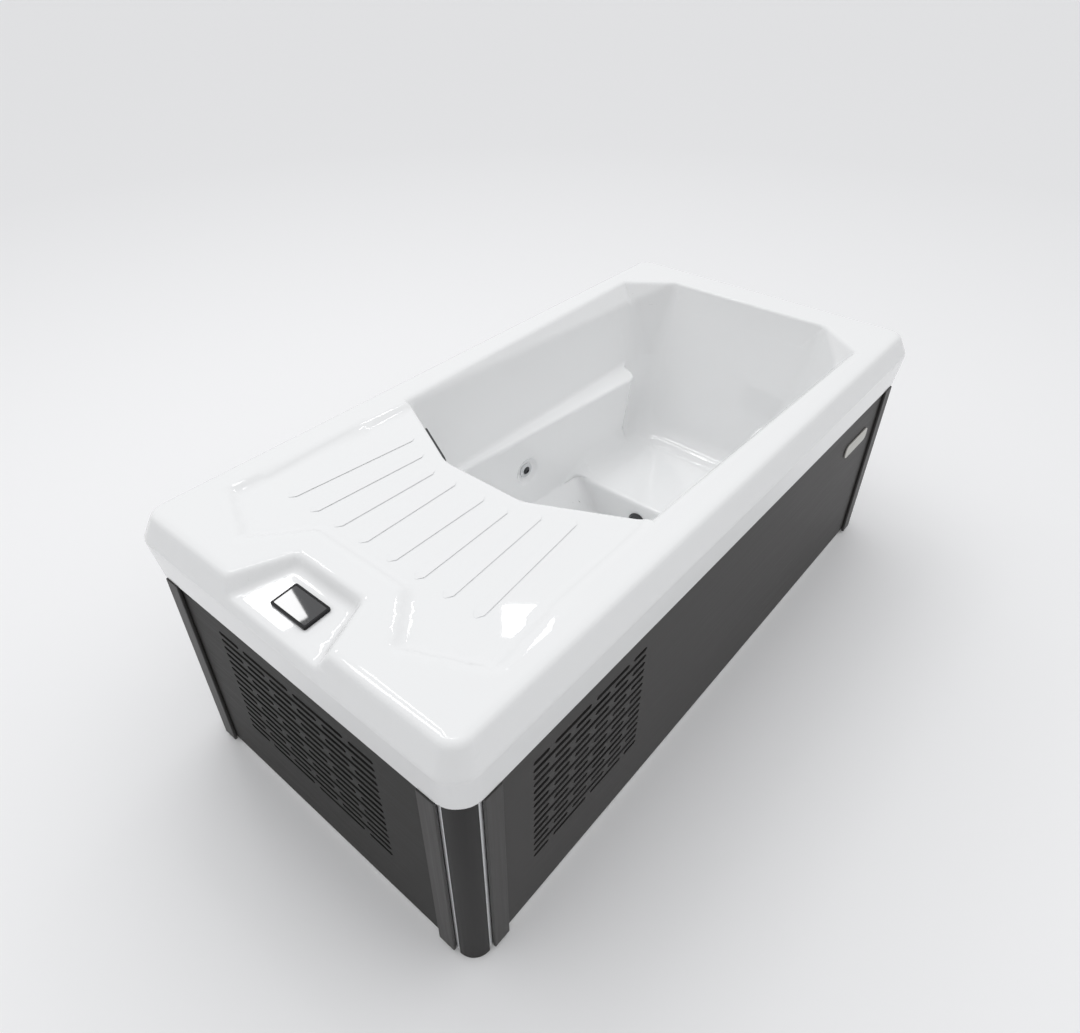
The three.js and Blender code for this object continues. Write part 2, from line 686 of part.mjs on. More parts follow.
const shell = (() => {
  const rim = rimBody(0);
  const cap = cut(rim, rimBody(WALL, deckUnder));
  const bossRadius = JET_DISH_RADIUS + WALL;
  const bossFront = WALL / 4 - JET_DISH_DEPTH;
  const jetBoss = solid(jetPlace(revolve([
    [0, bossFront], [bossRadius, bossFront], [bossRadius, WALL], [0, WALL],
  ])));
  const dishOver = 2 * JET_DISH_RADIUS - JET_DISH_FLAT;
  const jetDish = solid(jetPlace(revolve([
    [0, -2 * JET_DISH_DEPTH], [dishOver, -2 * JET_DISH_DEPTH], [JET_DISH_FLAT, 0], [0, 0],
  ])));
  const jetHole = solid(jetPlace(revolve([
    [0, -WALL], [JET_BORE, -WALL], [JET_BORE, 2 * WALL], [0, 2 * WALL],
  ])));
  const suctionHole = solid(revolve([
    [0, -2 * WALL], [SUCTION_STEM, -2 * WALL], [SUCTION_STEM, 2 * WALL], [0, 2 * WALL],
  ]).rotateY(Math.PI / 2).translate(riserX, 0, SUCTION_LEVEL));
  const body = join(
    cap,
    basinBody(WALL, deckTop - 1),
    recessBody(WALL).intersect(rim),
    bevelBody(1, WALL).intersect(rim),
    bevelBody(-1, WALL).intersect(rim),
    jetBoss,
  );
  const open = cut(
    body,
    trayBody(),
    basinBody(0, HEIGHT + EDGE_ROUND),
    lipBody(),
    bevelBody(1, 0),
    bevelBody(-1, 0),
    jetDish,
    jetHole,
    suctionHole,
  );
  return cut(join(open, ...ribBodies()), recessBody(0));
})();
piece('shell', surface(shell), ...WHITE);

// Control panel in the recess, laid parallel to the recess's sloping floor
const controlGroup = new THREE.Group();
const controlDepth = RECESS_DEPTH_INNER + (RECESS_LENGTH - RECESS_DRAFT - CONTROL_SETBACK) * recessFall;
controlGroup.position.set(CONTROL_SETBACK - endX, 0, HEIGHT - controlDepth + GAP);
controlGroup.rotation.y = -Math.atan(recessFall);
part.add(controlGroup);
const bezelOuter = rounded(rectangle(CONTROL_X / 2, CONTROL_Y / 2), BEZEL_ROUND, 3);
const glassX = CONTROL_X / 2 - BEZEL_BORDER;
const glassY = CONTROL_Y / 2 - BEZEL_BORDER;
const glassSeat = prism(rounded(rectangle(glassX, glassY), GLASS_ROUND, 3), BEZEL_HEIGHT);
const bezelBody = cut(
  solid(prism(bezelOuter, BEZEL_HEIGHT)),
  solid(glassSeat.translate(0, 0, BEZEL_HEIGHT - GLASS_HEIGHT)),
);
controlGroup.add(piece('control_bezel', surface(bezelBody), ...BLACK));
const glass = prism(rounded(rectangle(glassX - GAP, glassY - GAP), GLASS_ROUND, 3), GLASS_HEIGHT - GAP);
glass.translate(0, 0, BEZEL_HEIGHT - GLASS_HEIGHT + GAP);
controlGroup.add(piece('control_glass', glass, 0x2b3136, 0.05));

// Jet: a flanged body in the wall and a ball nozzle in it
const socket = JET_BALL + JET_CLEARANCE;
const jetBack = WALL + JET_NUT_SEAT;
const jetNut = jetBack + JET_NUT;
const jetEnd = jetNut + JET_TAIL;
piece('jet_body', jetPlace(revolve([
  [socket, -JET_FACE], [JET_FLANGE, -JET_EDGE], [JET_FLANGE, -GAP], [JET_BORE - GAP, -GAP],
  [JET_BORE - GAP, jetBack], [JET_FLANGE, jetBack], [JET_FLANGE, jetNut], [PIPE_RADIUS, jetNut],
  [PIPE_RADIUS, jetEnd], [0, jetEnd], [0, socket], [socket / 2, socket], [socket, socket / 2],
  [socket, -JET_FACE],
])), ...BLACK);
const ball = [50, 30, 0, -25].map((angle) => {
  const turn = THREE.MathUtils.degToRad(angle);
  return [JET_BALL * Math.cos(turn), -JET_BALL * Math.sin(turn)];
});
const ballFront = [JET_SPOUT, -JET_BALL * Math.cos(Math.asin(JET_SPOUT / JET_BALL))];
const ballBack = [JET_SPOUT, ball.at(-1)[1]];
piece('jet_nozzle', jetPlace(revolve([ballFront, ...ball, ballBack, ballFront])), 0x2c2d2f, 0.4);

// Suction cover on the step in front of the seat
const suctionPlace = (geometry) => geometry.rotateY(-Math.PI / 2).translate(riserX, 0, SUCTION_LEVEL);
const stemEnd = SUCTION_STEM_LENGTH;
const grooveOut = SUCTION_RADIUS - 2 * SUCTION_BAND;
const grooveIn = grooveOut - 2 * SUCTION_BAND;
piece('suction_cover', suctionPlace(revolve([
  [0, -stemEnd], [SUCTION_STEM - GAP, -stemEnd], [SUCTION_STEM - GAP, GAP], [SUCTION_RADIUS, GAP],
  [SUCTION_RADIUS, SUCTION_EDGE], [SUCTION_RADIUS - SUCTION_BAND, SUCTION_CROWN], [grooveOut, SUCTION_CROWN],
  [grooveOut - SUCTION_GROOVE, SUCTION_CROWN - SUCTION_GROOVE],
  [grooveIn + SUCTION_GROOVE, SUCTION_CROWN - SUCTION_GROOVE], [grooveIn, SUCTION_CROWN], [0, SUCTION_CROWN],
])), ...BLACK);

// Skimmer front on the slanted wall under the deck
const skimmerGroup = new THREE.Group();
const skimmerZ = deckTop - SKIMMER_DROP;
const slantTop = upperEdges(skimmerZ, 0)[3];
const slantOutward = at(slantTop.x, slantTop.y, -DECK_END_DRAFT).normalize();
const [slantA] = outline([upperEdges(skimmerZ, 0)[2], slantTop]);
const [slantB] = outline([slantTop, upperEdges(skimmerZ, 0)[4]]);
skimmerGroup.position.set((slantA.x + slantB.x) / 2, (slantA.y + slantB.y) / 2, skimmerZ);
skimmerGroup.position.addScaledVector(slantOutward, -GAP);
const skimmerSide = up.clone().cross(slantOutward).normalize();
const skimmerUp = slantOutward.clone().cross(skimmerSide);
skimmerGroup.quaternion.setFromRotationMatrix(
  new THREE.Matrix4().makeBasis(skimmerSide, skimmerUp, slantOutward),
);
part.add(skimmerGroup);
const skimmerSlots = Array.from({ length: SKIMMER_SLOTS }, (_, i) => {
  const half = rectangle(SKIMMER_WIDTH / 2 - SKIMMER_FRAME, SKIMMER_SLOT / 2);
  const rise = (i - (SKIMMER_SLOTS - 1) / 2) * SKIMMER_SLOT_PITCH;
  return rounded(half, SKIMMER_SLOT / 2, 2).map((p) => new THREE.Vector2(p.x, p.y + rise));
});
const skimmerShape = rounded(rectangle(SKIMMER_WIDTH / 2, SKIMMER_HEIGHT / 2), SKIMMER_ROUND, 4);
const skimmerPlate = cut(
  solid(prism(skimmerShape, SKIMMER_THICKNESS)),
  ...skimmerSlots.map((slot) => solid(prism(slot, SKIMMER_THICKNESS))),
).translate([0, 0, -SKIMMER_THICKNESS]);
skimmerGroup.add(piece('skimmer_front', surface(skimmerPlate), 0x3a3c3e, 0.5));

// Vent slots in staggered rows, as outlines about the middle of the field.
function ventSlots(half, spacing, centre, level) {
  const slots = [];
  for (let row = 0; row < ventRows; row++) {
    const breaks = [];
    const shift = row % 2 ? spacing / 2 : 0;
    const most = Math.ceil(half / spacing);
    for (let k = -most; k <= most; k++) {
      const where = k * spacing + shift;
      if (Math.abs(where) < half - VENT_BRIDGE) breaks.push(where);
    }
    const ends = [-half - VENT_BRIDGE / 2, ...breaks, half + VENT_BRIDGE / 2];
    for (let k = 0; k < ends.length - 1; k++) {
      const from = ends[k] + VENT_BRIDGE / 2;
      const to = ends[k + 1] - VENT_BRIDGE / 2;
      const z = level + row * VENT_PITCH;
      const slot = rounded(rectangle((to - from) / 2, VENT_SLOT / 2), VENT_SLOT / 2, 1);
      slots.push(slot.map((p) => new THREE.Vector2(p.x + centre + (from + to) / 2, p.y + z)));
    }
  }
  return slots;
}

// Skirt panels: drawn as seen from outside and stood up against the frame
const panelFoot = PAN_HEIGHT + GAP;
const panelHeight = panelTop - panelFoot;
const endPanelHalf = panelY - POST_RADIUS - GAP - TRIM_WIDTH - GAP;
const sidePanelHalf = panelX - POST_RADIUS - GAP - TRIM_WIDTH - GAP;
const ventLevel = VENT_FIRST - panelFoot - panelHeight / 2;
const ventRows = 1 + Math.floor((panelTop - VENT_MARGIN - VENT_SLOT / 2 - VENT_FIRST) / VENT_PITCH);

function skirtPanel(name, half, turn, distance, slots) {
  const sheet = prism(rectangle(half, panelHeight / 2), PANEL_THICKNESS, slots);
  const mesh = piece(name, sheet.translate(0, 0, -PANEL_THICKNESS), ...CHARCOAL);
  const stand = new THREE.Group();
  const outward = at(Math.cos(turn), Math.sin(turn), 0);
  const across = up.clone().cross(outward);
  stand.quaternion.setFromRotationMatrix(new THREE.Matrix4().makeBasis(across, up, outward));
  stand.position.copy(outward).multiplyScalar(distance).setZ(panelFoot + panelHeight / 2);
  stand.add(mesh);
  part.add(stand);
}

const deckEnd = Math.PI;
const seatEnd = 0;
const nearSide = -Math.PI / 2;
const farSide = Math.PI / 2;
const sideVentCentre = -sidePanelHalf + VENT_SIDE_OFFSET + VENT_SIDE_HALF;
skirtPanel('panel_end_service', endPanelHalf, deckEnd, panelX,
  ventSlots(VENT_END_HALF, VENT_END_SLOT, 0, ventLevel));
skirtPanel('panel_side_near', sidePanelHalf, nearSide, panelY,
  ventSlots(VENT_SIDE_HALF, VENT_SIDE_SLOT, sideVentCentre, ventLevel));
skirtPanel('panel_side_far', sidePanelHalf, farSide, panelY, []);
skirtPanel('panel_end_seat', endPanelHalf, seatEnd, panelX, []);

// Corner posts, the bright strips beside them and the battens on the panels' edges
const corners = [['deck_near', -1, -1], ['deck_far', -1, 1], ['seat_near', 1, -1], ['seat_far', 1, 1]];
for (const [name, sx, sy] of corners) {
  const arc = (radius) => Array.from({ length: 9 }, (_, i) => {
    const angle = (i / 8) * (Math.PI / 2);
    return new THREE.Vector2(radius * Math.cos(angle), radius * Math.sin(angle));
  });
  const profile = [...arc(POST_RADIUS), ...arc(POST_RADIUS - POST_WALL).reverse()];
  const post = prism(profile, panelTop - POST_FOOT);
  const mesh = piece(`corner_post_${name}`, post, ...CHARCOAL);
  const turns = { '1,1': 0, '-1,1': 1, '-1,-1': 2, '1,-1': 3 };
  mesh.rotation.z = (turns[`${sx},${sy}`] * Math.PI) / 2;
  mesh.position.set(sx * (panelX - POST_RADIUS), sy * (panelY - POST_RADIUS), POST_FOOT);

  const trimDepth = PANEL_THICKNESS + TRIM_PROUD;
  const trimX = panelX - POST_RADIUS - GAP - TRIM_WIDTH / 2;
  const trimY = panelY - POST_RADIUS - GAP - TRIM_WIDTH / 2;
  const trimZ = panelFoot + panelHeight / 2;
  const endTrim = new THREE.BoxGeometry(trimDepth, TRIM_WIDTH, panelHeight);
  piece(`trim_${name}_end`, endTrim, ...ALUMINIUM)
    .position.set(sx * (panelX + TRIM_PROUD - trimDepth / 2), sy * trimY, trimZ);
  const sideTrim = new THREE.BoxGeometry(TRIM_WIDTH, trimDepth, panelHeight);
  piece(`trim_${name}_side`, sideTrim, ...ALUMINIUM)
    .position.set(sx * trimX, sy * (panelY + TRIM_PROUD - trimDepth / 2), trimZ);

  const battenHeight = panelTop - BATTEN_FOOT;
  const battenDepth = BATTEN_PROUD - GAP;
  const edge = rounded(rectangle(BATTEN_WIDTH / 2, battenDepth / 2), BATTEN_ROUND, 2);
  const endBatten = piece(`batten_${name}_end`, prism(edge, battenHeight), ...CHARCOAL);
  endBatten.rotation.z = Math.PI / 2;
  endBatten.position.set(
    sx * (panelX + GAP + battenDepth / 2), sy * (endPanelHalf - BATTEN_WIDTH / 2), BATTEN_FOOT,
  );
  const sideBatten = piece(`batten_${name}_side`, prism(edge, battenHeight), ...CHARCOAL);
  sideBatten.position.set(
    sx * (sidePanelHalf - BATTEN_WIDTH / 2), sy * (panelY + GAP + battenDepth / 2), BATTEN_FOOT,
  );
}

// Bare name plate on the near side
const badgeShape = rounded(rectangle(BADGE_LENGTH / 2, BADGE_HEIGHT / 2), BADGE_HEIGHT / 2, 6);
const badge = prism(badgeShape, BADGE_THICKNESS);
const badgeMesh = piece('badge_plate', badge, 0xd7d6ce, 0.4);
badgeMesh.rotation.x = Math.PI / 2;
badgeMesh.position.set(sidePanelHalf - BADGE_FROM_END, -panelY - GAP, rimLow - BADGE_DROP);

// Base pan with its corners cut out round the posts
const panX = panelX - PAN_INSET;
const panY = panelY - PAN_INSET;
const notchX = panelX - POST_RADIUS - GAP;
const notchY = panelY - POST_RADIUS - GAP;
const panCorner = [[panX, -notchY], [panX, notchY], [notchX, notchY], [notchX, panY]];
const panOutline = [
  ...panCorner, [-notchX, panY], [-notchX, notchY], [-panX, notchY], [-panX, -notchY],
  [-notchX, -notchY], [-notchX, -panY], [notchX, -panY], [notchX, -notchY],
].map(([x, y]) => new THREE.Vector2(x, y));
piece('base_pan', prism(panOutline, PAN_HEIGHT), ...PALE);

// Frame: angled uprights behind the posts and square ones behind the side panels carry the rim
const frameHeight = deckUnder - GAP - panelFoot;
const outerX = panelX - POST_RADIUS - GAP;
const outerY = panelY - POST_RADIUS - GAP;
const innerX = outerX - TUBE;
const innerY = outerY - TUBE;
// An angled tube's outline, or its bore when it is shrunk by the wall.
function angleOutline(sx, sy, shrink) {
  const [x0, x1, x2] = [innerX + shrink, outerX - shrink, frameX - shrink];
  const [y0, y1, y2] = [innerY + shrink, outerY - shrink, frameY - shrink];
  const points = [[x0, y0], [x2, y0], [x2, y1], [x1, y1], [x1, y2], [x0, y2]]
    .map(([x, y]) => new THREE.Vector2(sx * x, sy * y));
  return sx * sy > 0 ? points : points.reverse();
}
for (const [name, sx, sy] of corners) {
  const tube = prism(angleOutline(sx, sy, 0), frameHeight, [angleOutline(sx, sy, TUBE_WALL)]);
  piece(`upright_${name}`, tube, ...STEEL).position.z = panelFoot;
}
const tubeBore = rectangle(TUBE / 2 - TUBE_WALL, TUBE / 2 - TUBE_WALL);
for (const [name, sy] of [['near', -1], ['far', 1]]) {
  for (const [place, x] of [['deck', lipX - TUBE], ['seat', riserX]]) {
    const tube = prism(rectangle(TUBE / 2, TUBE / 2), frameHeight, [tubeBore]);
    piece(`upright_mid_${place}_${name}`, tube, ...STEEL)
      .position.set(x, sy * (frameY - TUBE / 2), panelFoot);
  }
}

// Supports under the foot well and the seat
const cradleHalf = lowerEdges(SEAT_HEIGHT, 0)[1].d - WELL_CHAMFER - CORNER_ROUND;
const wellCradle = box(lipX + LIP_SLANT, riserX - CORNER_ROUND, -cradleHalf, cradleHalf,
  PAN_HEIGHT + GAP, WELL_FLOOR - WALL - GAP);
piece('support_well', wellCradle, 0xcfcabb, 0.9);
const seatCradle = box(seatBackX - SEAT_DEPTH / 2, seatBackX - CORNER_ROUND, -cradleHalf, cradleHalf,
  PAN_HEIGHT + GAP, SEAT_HEIGHT - WALL - GAP);
piece('support_seat', seatCradle, 0xcfcabb, 0.9);

// Chiller tray, fan shroud, fan and condenser behind the vented end panel
const bayX = -(frameX - TUBE); // inner face of the end frame
const trayX = bayX + GAP;
const trayTop = PAN_HEIGHT + GAP + TRAY_HEIGHT;
const traySheet = prism(rounded(rectangle(TRAY_LENGTH / 2, TRAY_WIDTH / 2), TRAY_ROUND, 3), TRAY_HEIGHT);
piece('chiller_tray', traySheet, ...STEEL).position.set(trayX + TRAY_LENGTH / 2, 0, PAN_HEIGHT + GAP);

const shroudX = bayX + SHROUD_FROM_FRAME; // rear face of the fan, front face of the shroud's plate
const shroudFoot = trayTop + GAP;
const RING_SIDES = 28;
const ringOuter = FAN_RING + FAN_RING_WALL;
const hole = Array.from({ length: RING_SIDES }, (_, i) => {
  const angle = (i / RING_SIDES) * 2 * Math.PI;
  return new THREE.Vector2(FAN_RING * Math.cos(angle), FAN_RING * Math.sin(angle));
});
const plateLow = shroudFoot - FAN_LEVEL;
const plateTop = plateLow + SHROUD_HEIGHT;
const plateOutline = [
  [-SHROUD_HALF, plateLow], [SHROUD_HALF, plateLow], [SHROUD_HALF, plateTop], [-SHROUD_HALF, plateTop],
].map(([x, y]) => new THREE.Vector2(x, y));
const shroudRing = revolve([
  [FAN_RING, -SHROUD_PLATE], [ringOuter, -SHROUD_PLATE], [ringOuter, FAN_DEPTH], [FAN_RING, FAN_DEPTH],
  [FAN_RING, -SHROUD_PLATE],
], RING_SIDES);
const spokeEnd = FAN_RING + SPOKE_SEAT;
const spoke = box(-SPOKE_WIDTH / 2, SPOKE_WIDTH / 2, -spokeEnd, spokeEnd, -SHROUD_PLATE, -FAN_CLEARANCE);
const shroudBody = join(
  solid(prism(plateOutline, SHROUD_PLATE, [hole]).translate(0, 0, -SHROUD_PLATE)),
  solid(shroudRing),
  solid(spoke.clone()),
  solid(spoke.rotateZ(Math.PI / 2)),
  solid(new THREE.CylinderGeometry(FAN_HUB, FAN_HUB, SHROUD_PLATE - FAN_CLEARANCE, 20).rotateX(Math.PI / 2)
    .translate(0, 0, -(SHROUD_PLATE + FAN_CLEARANCE) / 2)),
);
const fanGroup = new THREE.Group();
fanGroup.position.set(shroudX, 0, FAN_LEVEL);
fanGroup.quaternion.setFromRotationMatrix(
  new THREE.Matrix4().makeBasis(at(0, -1, 0), at(0, 0, 1), at(-1, 0, 0)),
);
part.add(fanGroup);
fanGroup.add(piece('fan_shroud', surface(shroudBody), ...BLACK));

// A flat blade that widens from the hub to the tip.
function fanBlade() {
  const station = (radius, chord) => {
    const dx = (chord / 2) * Math.cos(BLADE_PITCH);
    const dz = (chord / 2) * Math.sin(BLADE_PITCH);
    const mid = FAN_DEPTH / 2;
    const t = BLADE_THICKNESS / 2;
    return [[-dx, mid - dz + t], [dx, mid + dz + t], [dx, mid + dz - t], [-dx, mid - dz - t]]
      .map(([x, z]) => at(x, radius, z));
  };
  return skin([station(FAN_HUB - BLADE_SEAT, BLADE_ROOT), station(FAN_RADIUS, BLADE_TIP)]);
}
const hub = new THREE.CylinderGeometry(FAN_HUB, FAN_HUB, FAN_DEPTH, 20).rotateX(Math.PI / 2);
let fanBody = solid(hub.translate(0, 0, FAN_DEPTH / 2));
for (let i = 0; i < FAN_BLADES; i++) {
  fanBody = fanBody.add(solid(fanBlade().rotateZ((i * 2 * Math.PI) / FAN_BLADES)));
}
fanGroup.add(piece('fan', surface(fanBody), 0x1d1e20, 0.55));

const condenserX = shroudX + SHROUD_PLATE + GAP;
const finHalf = SHROUD_HALF - CONDENSER_INSET;
const finPitch = (2 * finHalf) / CONDENSER_FINS;
const finRoot = condenserX + CONDENSER_DEPTH - CONDENSER_HEADER;
const comb = [[condenserX + CONDENSER_DEPTH, -finHalf], [condenserX + CONDENSER_DEPTH, finHalf]];
for (let i = CONDENSER_FINS; i > 0; i--) {
  const y = -finHalf + i * finPitch;
  comb.push([condenserX, y], [condenserX, y - finPitch / 2], [finRoot, y - finPitch / 2]);
  if (i > 1) comb.push([finRoot, y - finPitch]);
}
comb.push([finRoot, -finHalf]);
const combOutline = comb.map(([x, y]) => new THREE.Vector2(x, y));
piece('condenser', prism(combOutline, SHROUD_HEIGHT).translate(0, 0, shroudFoot), 0xa9adb0, 0.4, 1);

// Compressor on the tray
const footRadius = COMPRESSOR_RADIUS + COMPRESSOR_FOOT;
const compressorX = trayX + TRAY_LENGTH - footRadius - COMPRESSOR_FROM_EDGE;
const seamRadius = COMPRESSOR_RADIUS + COMPRESSOR_SEAM;
const seamTop = COMPRESSOR_HEIGHT - COMPRESSOR_DOME;
const seamLow = seamTop - 2 * COMPRESSOR_SEAM;
const compressorDome = [30, 60].map((angle) => {
  const turn = THREE.MathUtils.degToRad(angle);
  return [COMPRESSOR_RADIUS * Math.cos(turn), seamTop + COMPRESSOR_DOME * Math.sin(turn)];
});
piece('compressor', revolve([
  [0, 0], [footRadius, 0], [footRadius, COMPRESSOR_FOOT],
  [COMPRESSOR_RADIUS - COMPRESSOR_WAIST, COMPRESSOR_FOOT + COMPRESSOR_WAIST],
  [COMPRESSOR_RADIUS, COMPRESSOR_FOOT + 3 * COMPRESSOR_WAIST], [COMPRESSOR_RADIUS, seamLow - COMPRESSOR_SEAM],
  [seamRadius, seamLow], [seamRadius, seamTop - COMPRESSOR_SEAM],
  [COMPRESSOR_RADIUS, seamTop], ...compressorDome, [0, COMPRESSOR_HEIGHT],
], 20), ...BLACK).position.set(compressorX, TRAY_WIDTH / 4, trayTop + GAP);

// Pump: a ribbed motor on a foot and a volute with its inlet and outlet
const pumpX = bayX + PUMP_FROM_FRAME;
const pumpY = frameY - PUMP_FROM_SIDE;
const motorEnd = pumpX + PUMP_MOTOR_LENGTH;
const footZ = PAN_HEIGHT + GAP;
const alongX = (geometry) => geometry.rotateY(Math.PI / 2);
const motorProfile = [[0, 0], [PUMP_MOTOR_RADIUS - MOTOR_CHAMFER, 0], [PUMP_MOTOR_RADIUS, MOTOR_CHAMFER]];
const finStart = (PUMP_MOTOR_LENGTH - MOTOR_FINS * MOTOR_FIN_PITCH) / 2;
for (let i = 0; i < MOTOR_FINS; i++) {
  const from = finStart + i * MOTOR_FIN_PITCH;
  const to = from + MOTOR_GROOVE;
  const slope = MOTOR_FIN_DEPTH / 2;
  const low = PUMP_MOTOR_RADIUS - MOTOR_FIN_DEPTH;
  motorProfile.push([PUMP_MOTOR_RADIUS, from], [low, from + slope]);
  motorProfile.push([low, to - slope], [PUMP_MOTOR_RADIUS, to]);
}
motorProfile.push([PUMP_MOTOR_RADIUS, PUMP_MOTOR_LENGTH], [0, PUMP_MOTOR_LENGTH]);
const motorMid = PUMP_MOTOR_LENGTH / 2;
const motorFoot = box(motorMid - PUMP_FOOT_LENGTH / 2, motorMid + PUMP_FOOT_LENGTH / 2, -PUMP_MOTOR_RADIUS,
  PUMP_MOTOR_RADIUS, footZ - PUMP_AXIS, -PUMP_MOTOR_RADIUS + PUMP_FOOT);
const motorBody = solid(alongX(revolve(motorProfile, 16))).add(solid(motorFoot));
piece('pump_motor', surface(motorBody), 0x2e3134, 0.5).position.set(pumpX, -pumpY, PUMP_AXIS);
const outletTop = PUMP_VOLUTE_RADIUS + OUTLET_RISE;
const pumpSocket = PIPE_RADIUS + SOCKET_WALL;
const outletX = pumpSocket;
const voluteFoot = box(VOLUTE_CHAMFER, VOLUTE_CASE, -VOLUTE_FOOT_WIDTH / 2, VOLUTE_FOOT_WIDTH / 2,
  footZ - PUMP_AXIS, -PUMP_VOLUTE_RADIUS + PUMP_FOOT);
const voluteBody = join(
  solid(alongX(revolve([
    [0, 0], [PUMP_VOLUTE_RADIUS - VOLUTE_CHAMFER, 0], [PUMP_VOLUTE_RADIUS, VOLUTE_CHAMFER],
    [PUMP_VOLUTE_RADIUS, VOLUTE_CASE], [PUMP_VOLUTE_RADIUS - VOLUTE_SHOULDER, VOLUTE_CASE + VOLUTE_CHAMFER],
    [pumpSocket, VOLUTE_CASE + VOLUTE_SHOULDER], [pumpSocket, PUMP_VOLUTE_LENGTH], [0, PUMP_VOLUTE_LENGTH],
  ], 24))),
  solid(new THREE.CylinderGeometry(pumpSocket, pumpSocket, outletTop, 16).rotateX(Math.PI / 2)
    .translate(outletX, 0, outletTop / 2)),
  solid(voluteFoot),
);
const volute = piece('pump_volute', surface(voluteBody), 0x1f2123, 0.45);
volute.position.set(motorEnd + GAP, -pumpY, PUMP_AXIS);

// Filter canister and water cooler, standing on the pan
const pumpOutX = motorEnd + GAP + outletX;
const filterX = pumpOutX + FILTER_FROM_PUMP + FILTER_RADIUS;
function canister(radius, height, collar) {
  const body = radius - CANISTER_STEP;
  const collarTop = height - CANISTER_DOME;
  const collarLow = collarTop - collar;
  const dome = [30, 60].map((angle) => {
    const turn = THREE.MathUtils.degToRad(angle);
    return [radius * Math.cos(turn), collarTop + CANISTER_DOME * Math.sin(turn)];
  });
  return revolve([
    [0, 0], [body - CANISTER_CHAMFER, 0], [body, CANISTER_CHAMFER], [body, collarLow - CANISTER_STEP],
    [radius, collarLow], [radius, collarTop], ...dome, [0, height],
  ], 24);
}
piece('filter_canister', canister(FILTER_RADIUS, FILTER_HEIGHT, FILTER_COLLAR), 0x26282a, 0.4)
  .position.set(filterX, -pumpY, footZ);
const coolerY = -pumpY + FILTER_RADIUS + COOLER_FROM_FILTER + COOLER_RADIUS;
piece('water_cooler', canister(COOLER_RADIUS, COOLER_HEIGHT, COOLER_COLLAR), 0x8c9296, 0.4, 1)
  .position.set(filterX, coolerY, footZ);

// Pipes: suction from the seat step to the pump, pump to filter, filter to cooler, cooler to the jet
const inletX = motorEnd + GAP + PUMP_VOLUTE_LENGTH;
const suctionX = riserX + stemEnd + GAP;
const wellRise = (SEAT_HEIGHT - PUMP_AXIS - PIPE_RADIUS) / (SEAT_HEIGHT - WELL_FLOOR);
const wellHere = outline(wellEdges(WALL, WELL_CHAMFER * wellRise, WELL_CHAMFER_FOOT * wellRise));
const wellSide = Math.max(...wellHere.map((p) => p.y));
const sideRun = -(wellSide + SUCTION_CLEARANCE + PIPE_RADIUS);
piece('pipe_suction', pipe([
  at(inletX + GAP, -pumpY, PUMP_AXIS),
  at(inletX + PIPE_BEND, -pumpY, PUMP_AXIS),
  at(inletX + PIPE_BEND, sideRun, PUMP_AXIS),
  at(suctionX + 2 * PIPE_BEND, sideRun, PUMP_AXIS),
  at(suctionX + 2 * PIPE_BEND, 0, SUCTION_LEVEL),
  at(suctionX, 0, SUCTION_LEVEL),
]), ...PIPE_GREY);
const filterInlet = PUMP_AXIS + outletTop + INLET_RISE;
const filterWall = FILTER_RADIUS - CANISTER_STEP + GAP;
const coolerWall = COOLER_RADIUS - CANISTER_STEP + GAP;
const coolerOutlet = footZ + COOLER_HEIGHT / 2 - 2 * PIPE_RADIUS;
piece('pipe_pump_filter', pipe([
  at(pumpOutX, -pumpY, PUMP_AXIS + outletTop + GAP),
  at(pumpOutX, -pumpY, filterInlet),
  at(filterX - filterWall, -pumpY, filterInlet),
]), ...PIPE_GREY);
piece('pipe_filter_cooler', pipe([
  at(filterX, -pumpY + filterWall, filterInlet),
  at(filterX, coolerY - coolerWall, filterInlet),
]), ...PIPE_GREY);
const jetBend = jetAlong(jetEnd + JET_RUN);
piece('pipe_cooler_jet', pipe([
  at(filterX, coolerY + coolerWall, coolerOutlet),
  at(filterX, jetBend.y, coolerOutlet),
  at(filterX, jetBend.y, jetLevel),
  jetBend,
  jetAlong(jetEnd + GAP),
]), ...PIPE_GREY);

// Drain valve under the suction pipe, with its lever
const valveX = lipX - VALVE_FROM_LIP;
const valveHeight = PUMP_AXIS - PIPE_RADIUS - GAP - footZ;
const valveAxis = footZ + valveHeight / 2;
const valveEnd = VALVE_RADIUS + VALVE_SLOPE;
const valveNeck = VALVE_RADIUS - VALVE_NECK;
const valveHalf = [
  [valveEnd, 0], [valveEnd, VALVE_NUT], [valveNeck, VALVE_NUT + VALVE_SLOPE],
  [valveNeck, VALVE_NUT + 2 * VALVE_SLOPE], [VALVE_RADIUS, VALVE_NUT + 3 * VALVE_SLOPE],
];
const valveProfile = [...valveHalf, ...valveHalf.toReversed().map(([r, h]) => [r, valveHeight - h])];
const spindle = new THREE.CylinderGeometry(VALVE_SPINDLE_RADIUS, VALVE_SPINDLE_RADIUS, VALVE_SPINDLE, 12);
const valveBody = join(
  solid(revolve([[0, 0], ...valveProfile, [0, valveHeight]], 16)),
  solid(spindle.translate(0, -VALVE_SPINDLE / 2, valveHeight / 2)),
);
piece('drain_valve', surface(valveBody), 0xa8823f, 0.35, 1).position.set(valveX, sideRun, footZ);
const lever = prism(rounded([
  [LEVER_LENGTH, -LEVER_WIDTH / 3], [LEVER_LENGTH, LEVER_WIDTH / 3], [0, LEVER_WIDTH / 2],
  [-LEVER_WIDTH / 2, LEVER_WIDTH / 2], [-LEVER_WIDTH / 2, -LEVER_WIDTH / 2], [0, -LEVER_WIDTH / 2],
].map(([x, y]) => new THREE.Vector2(x, y)), LEVER_ROUND, 3), LEVER_THICKNESS);
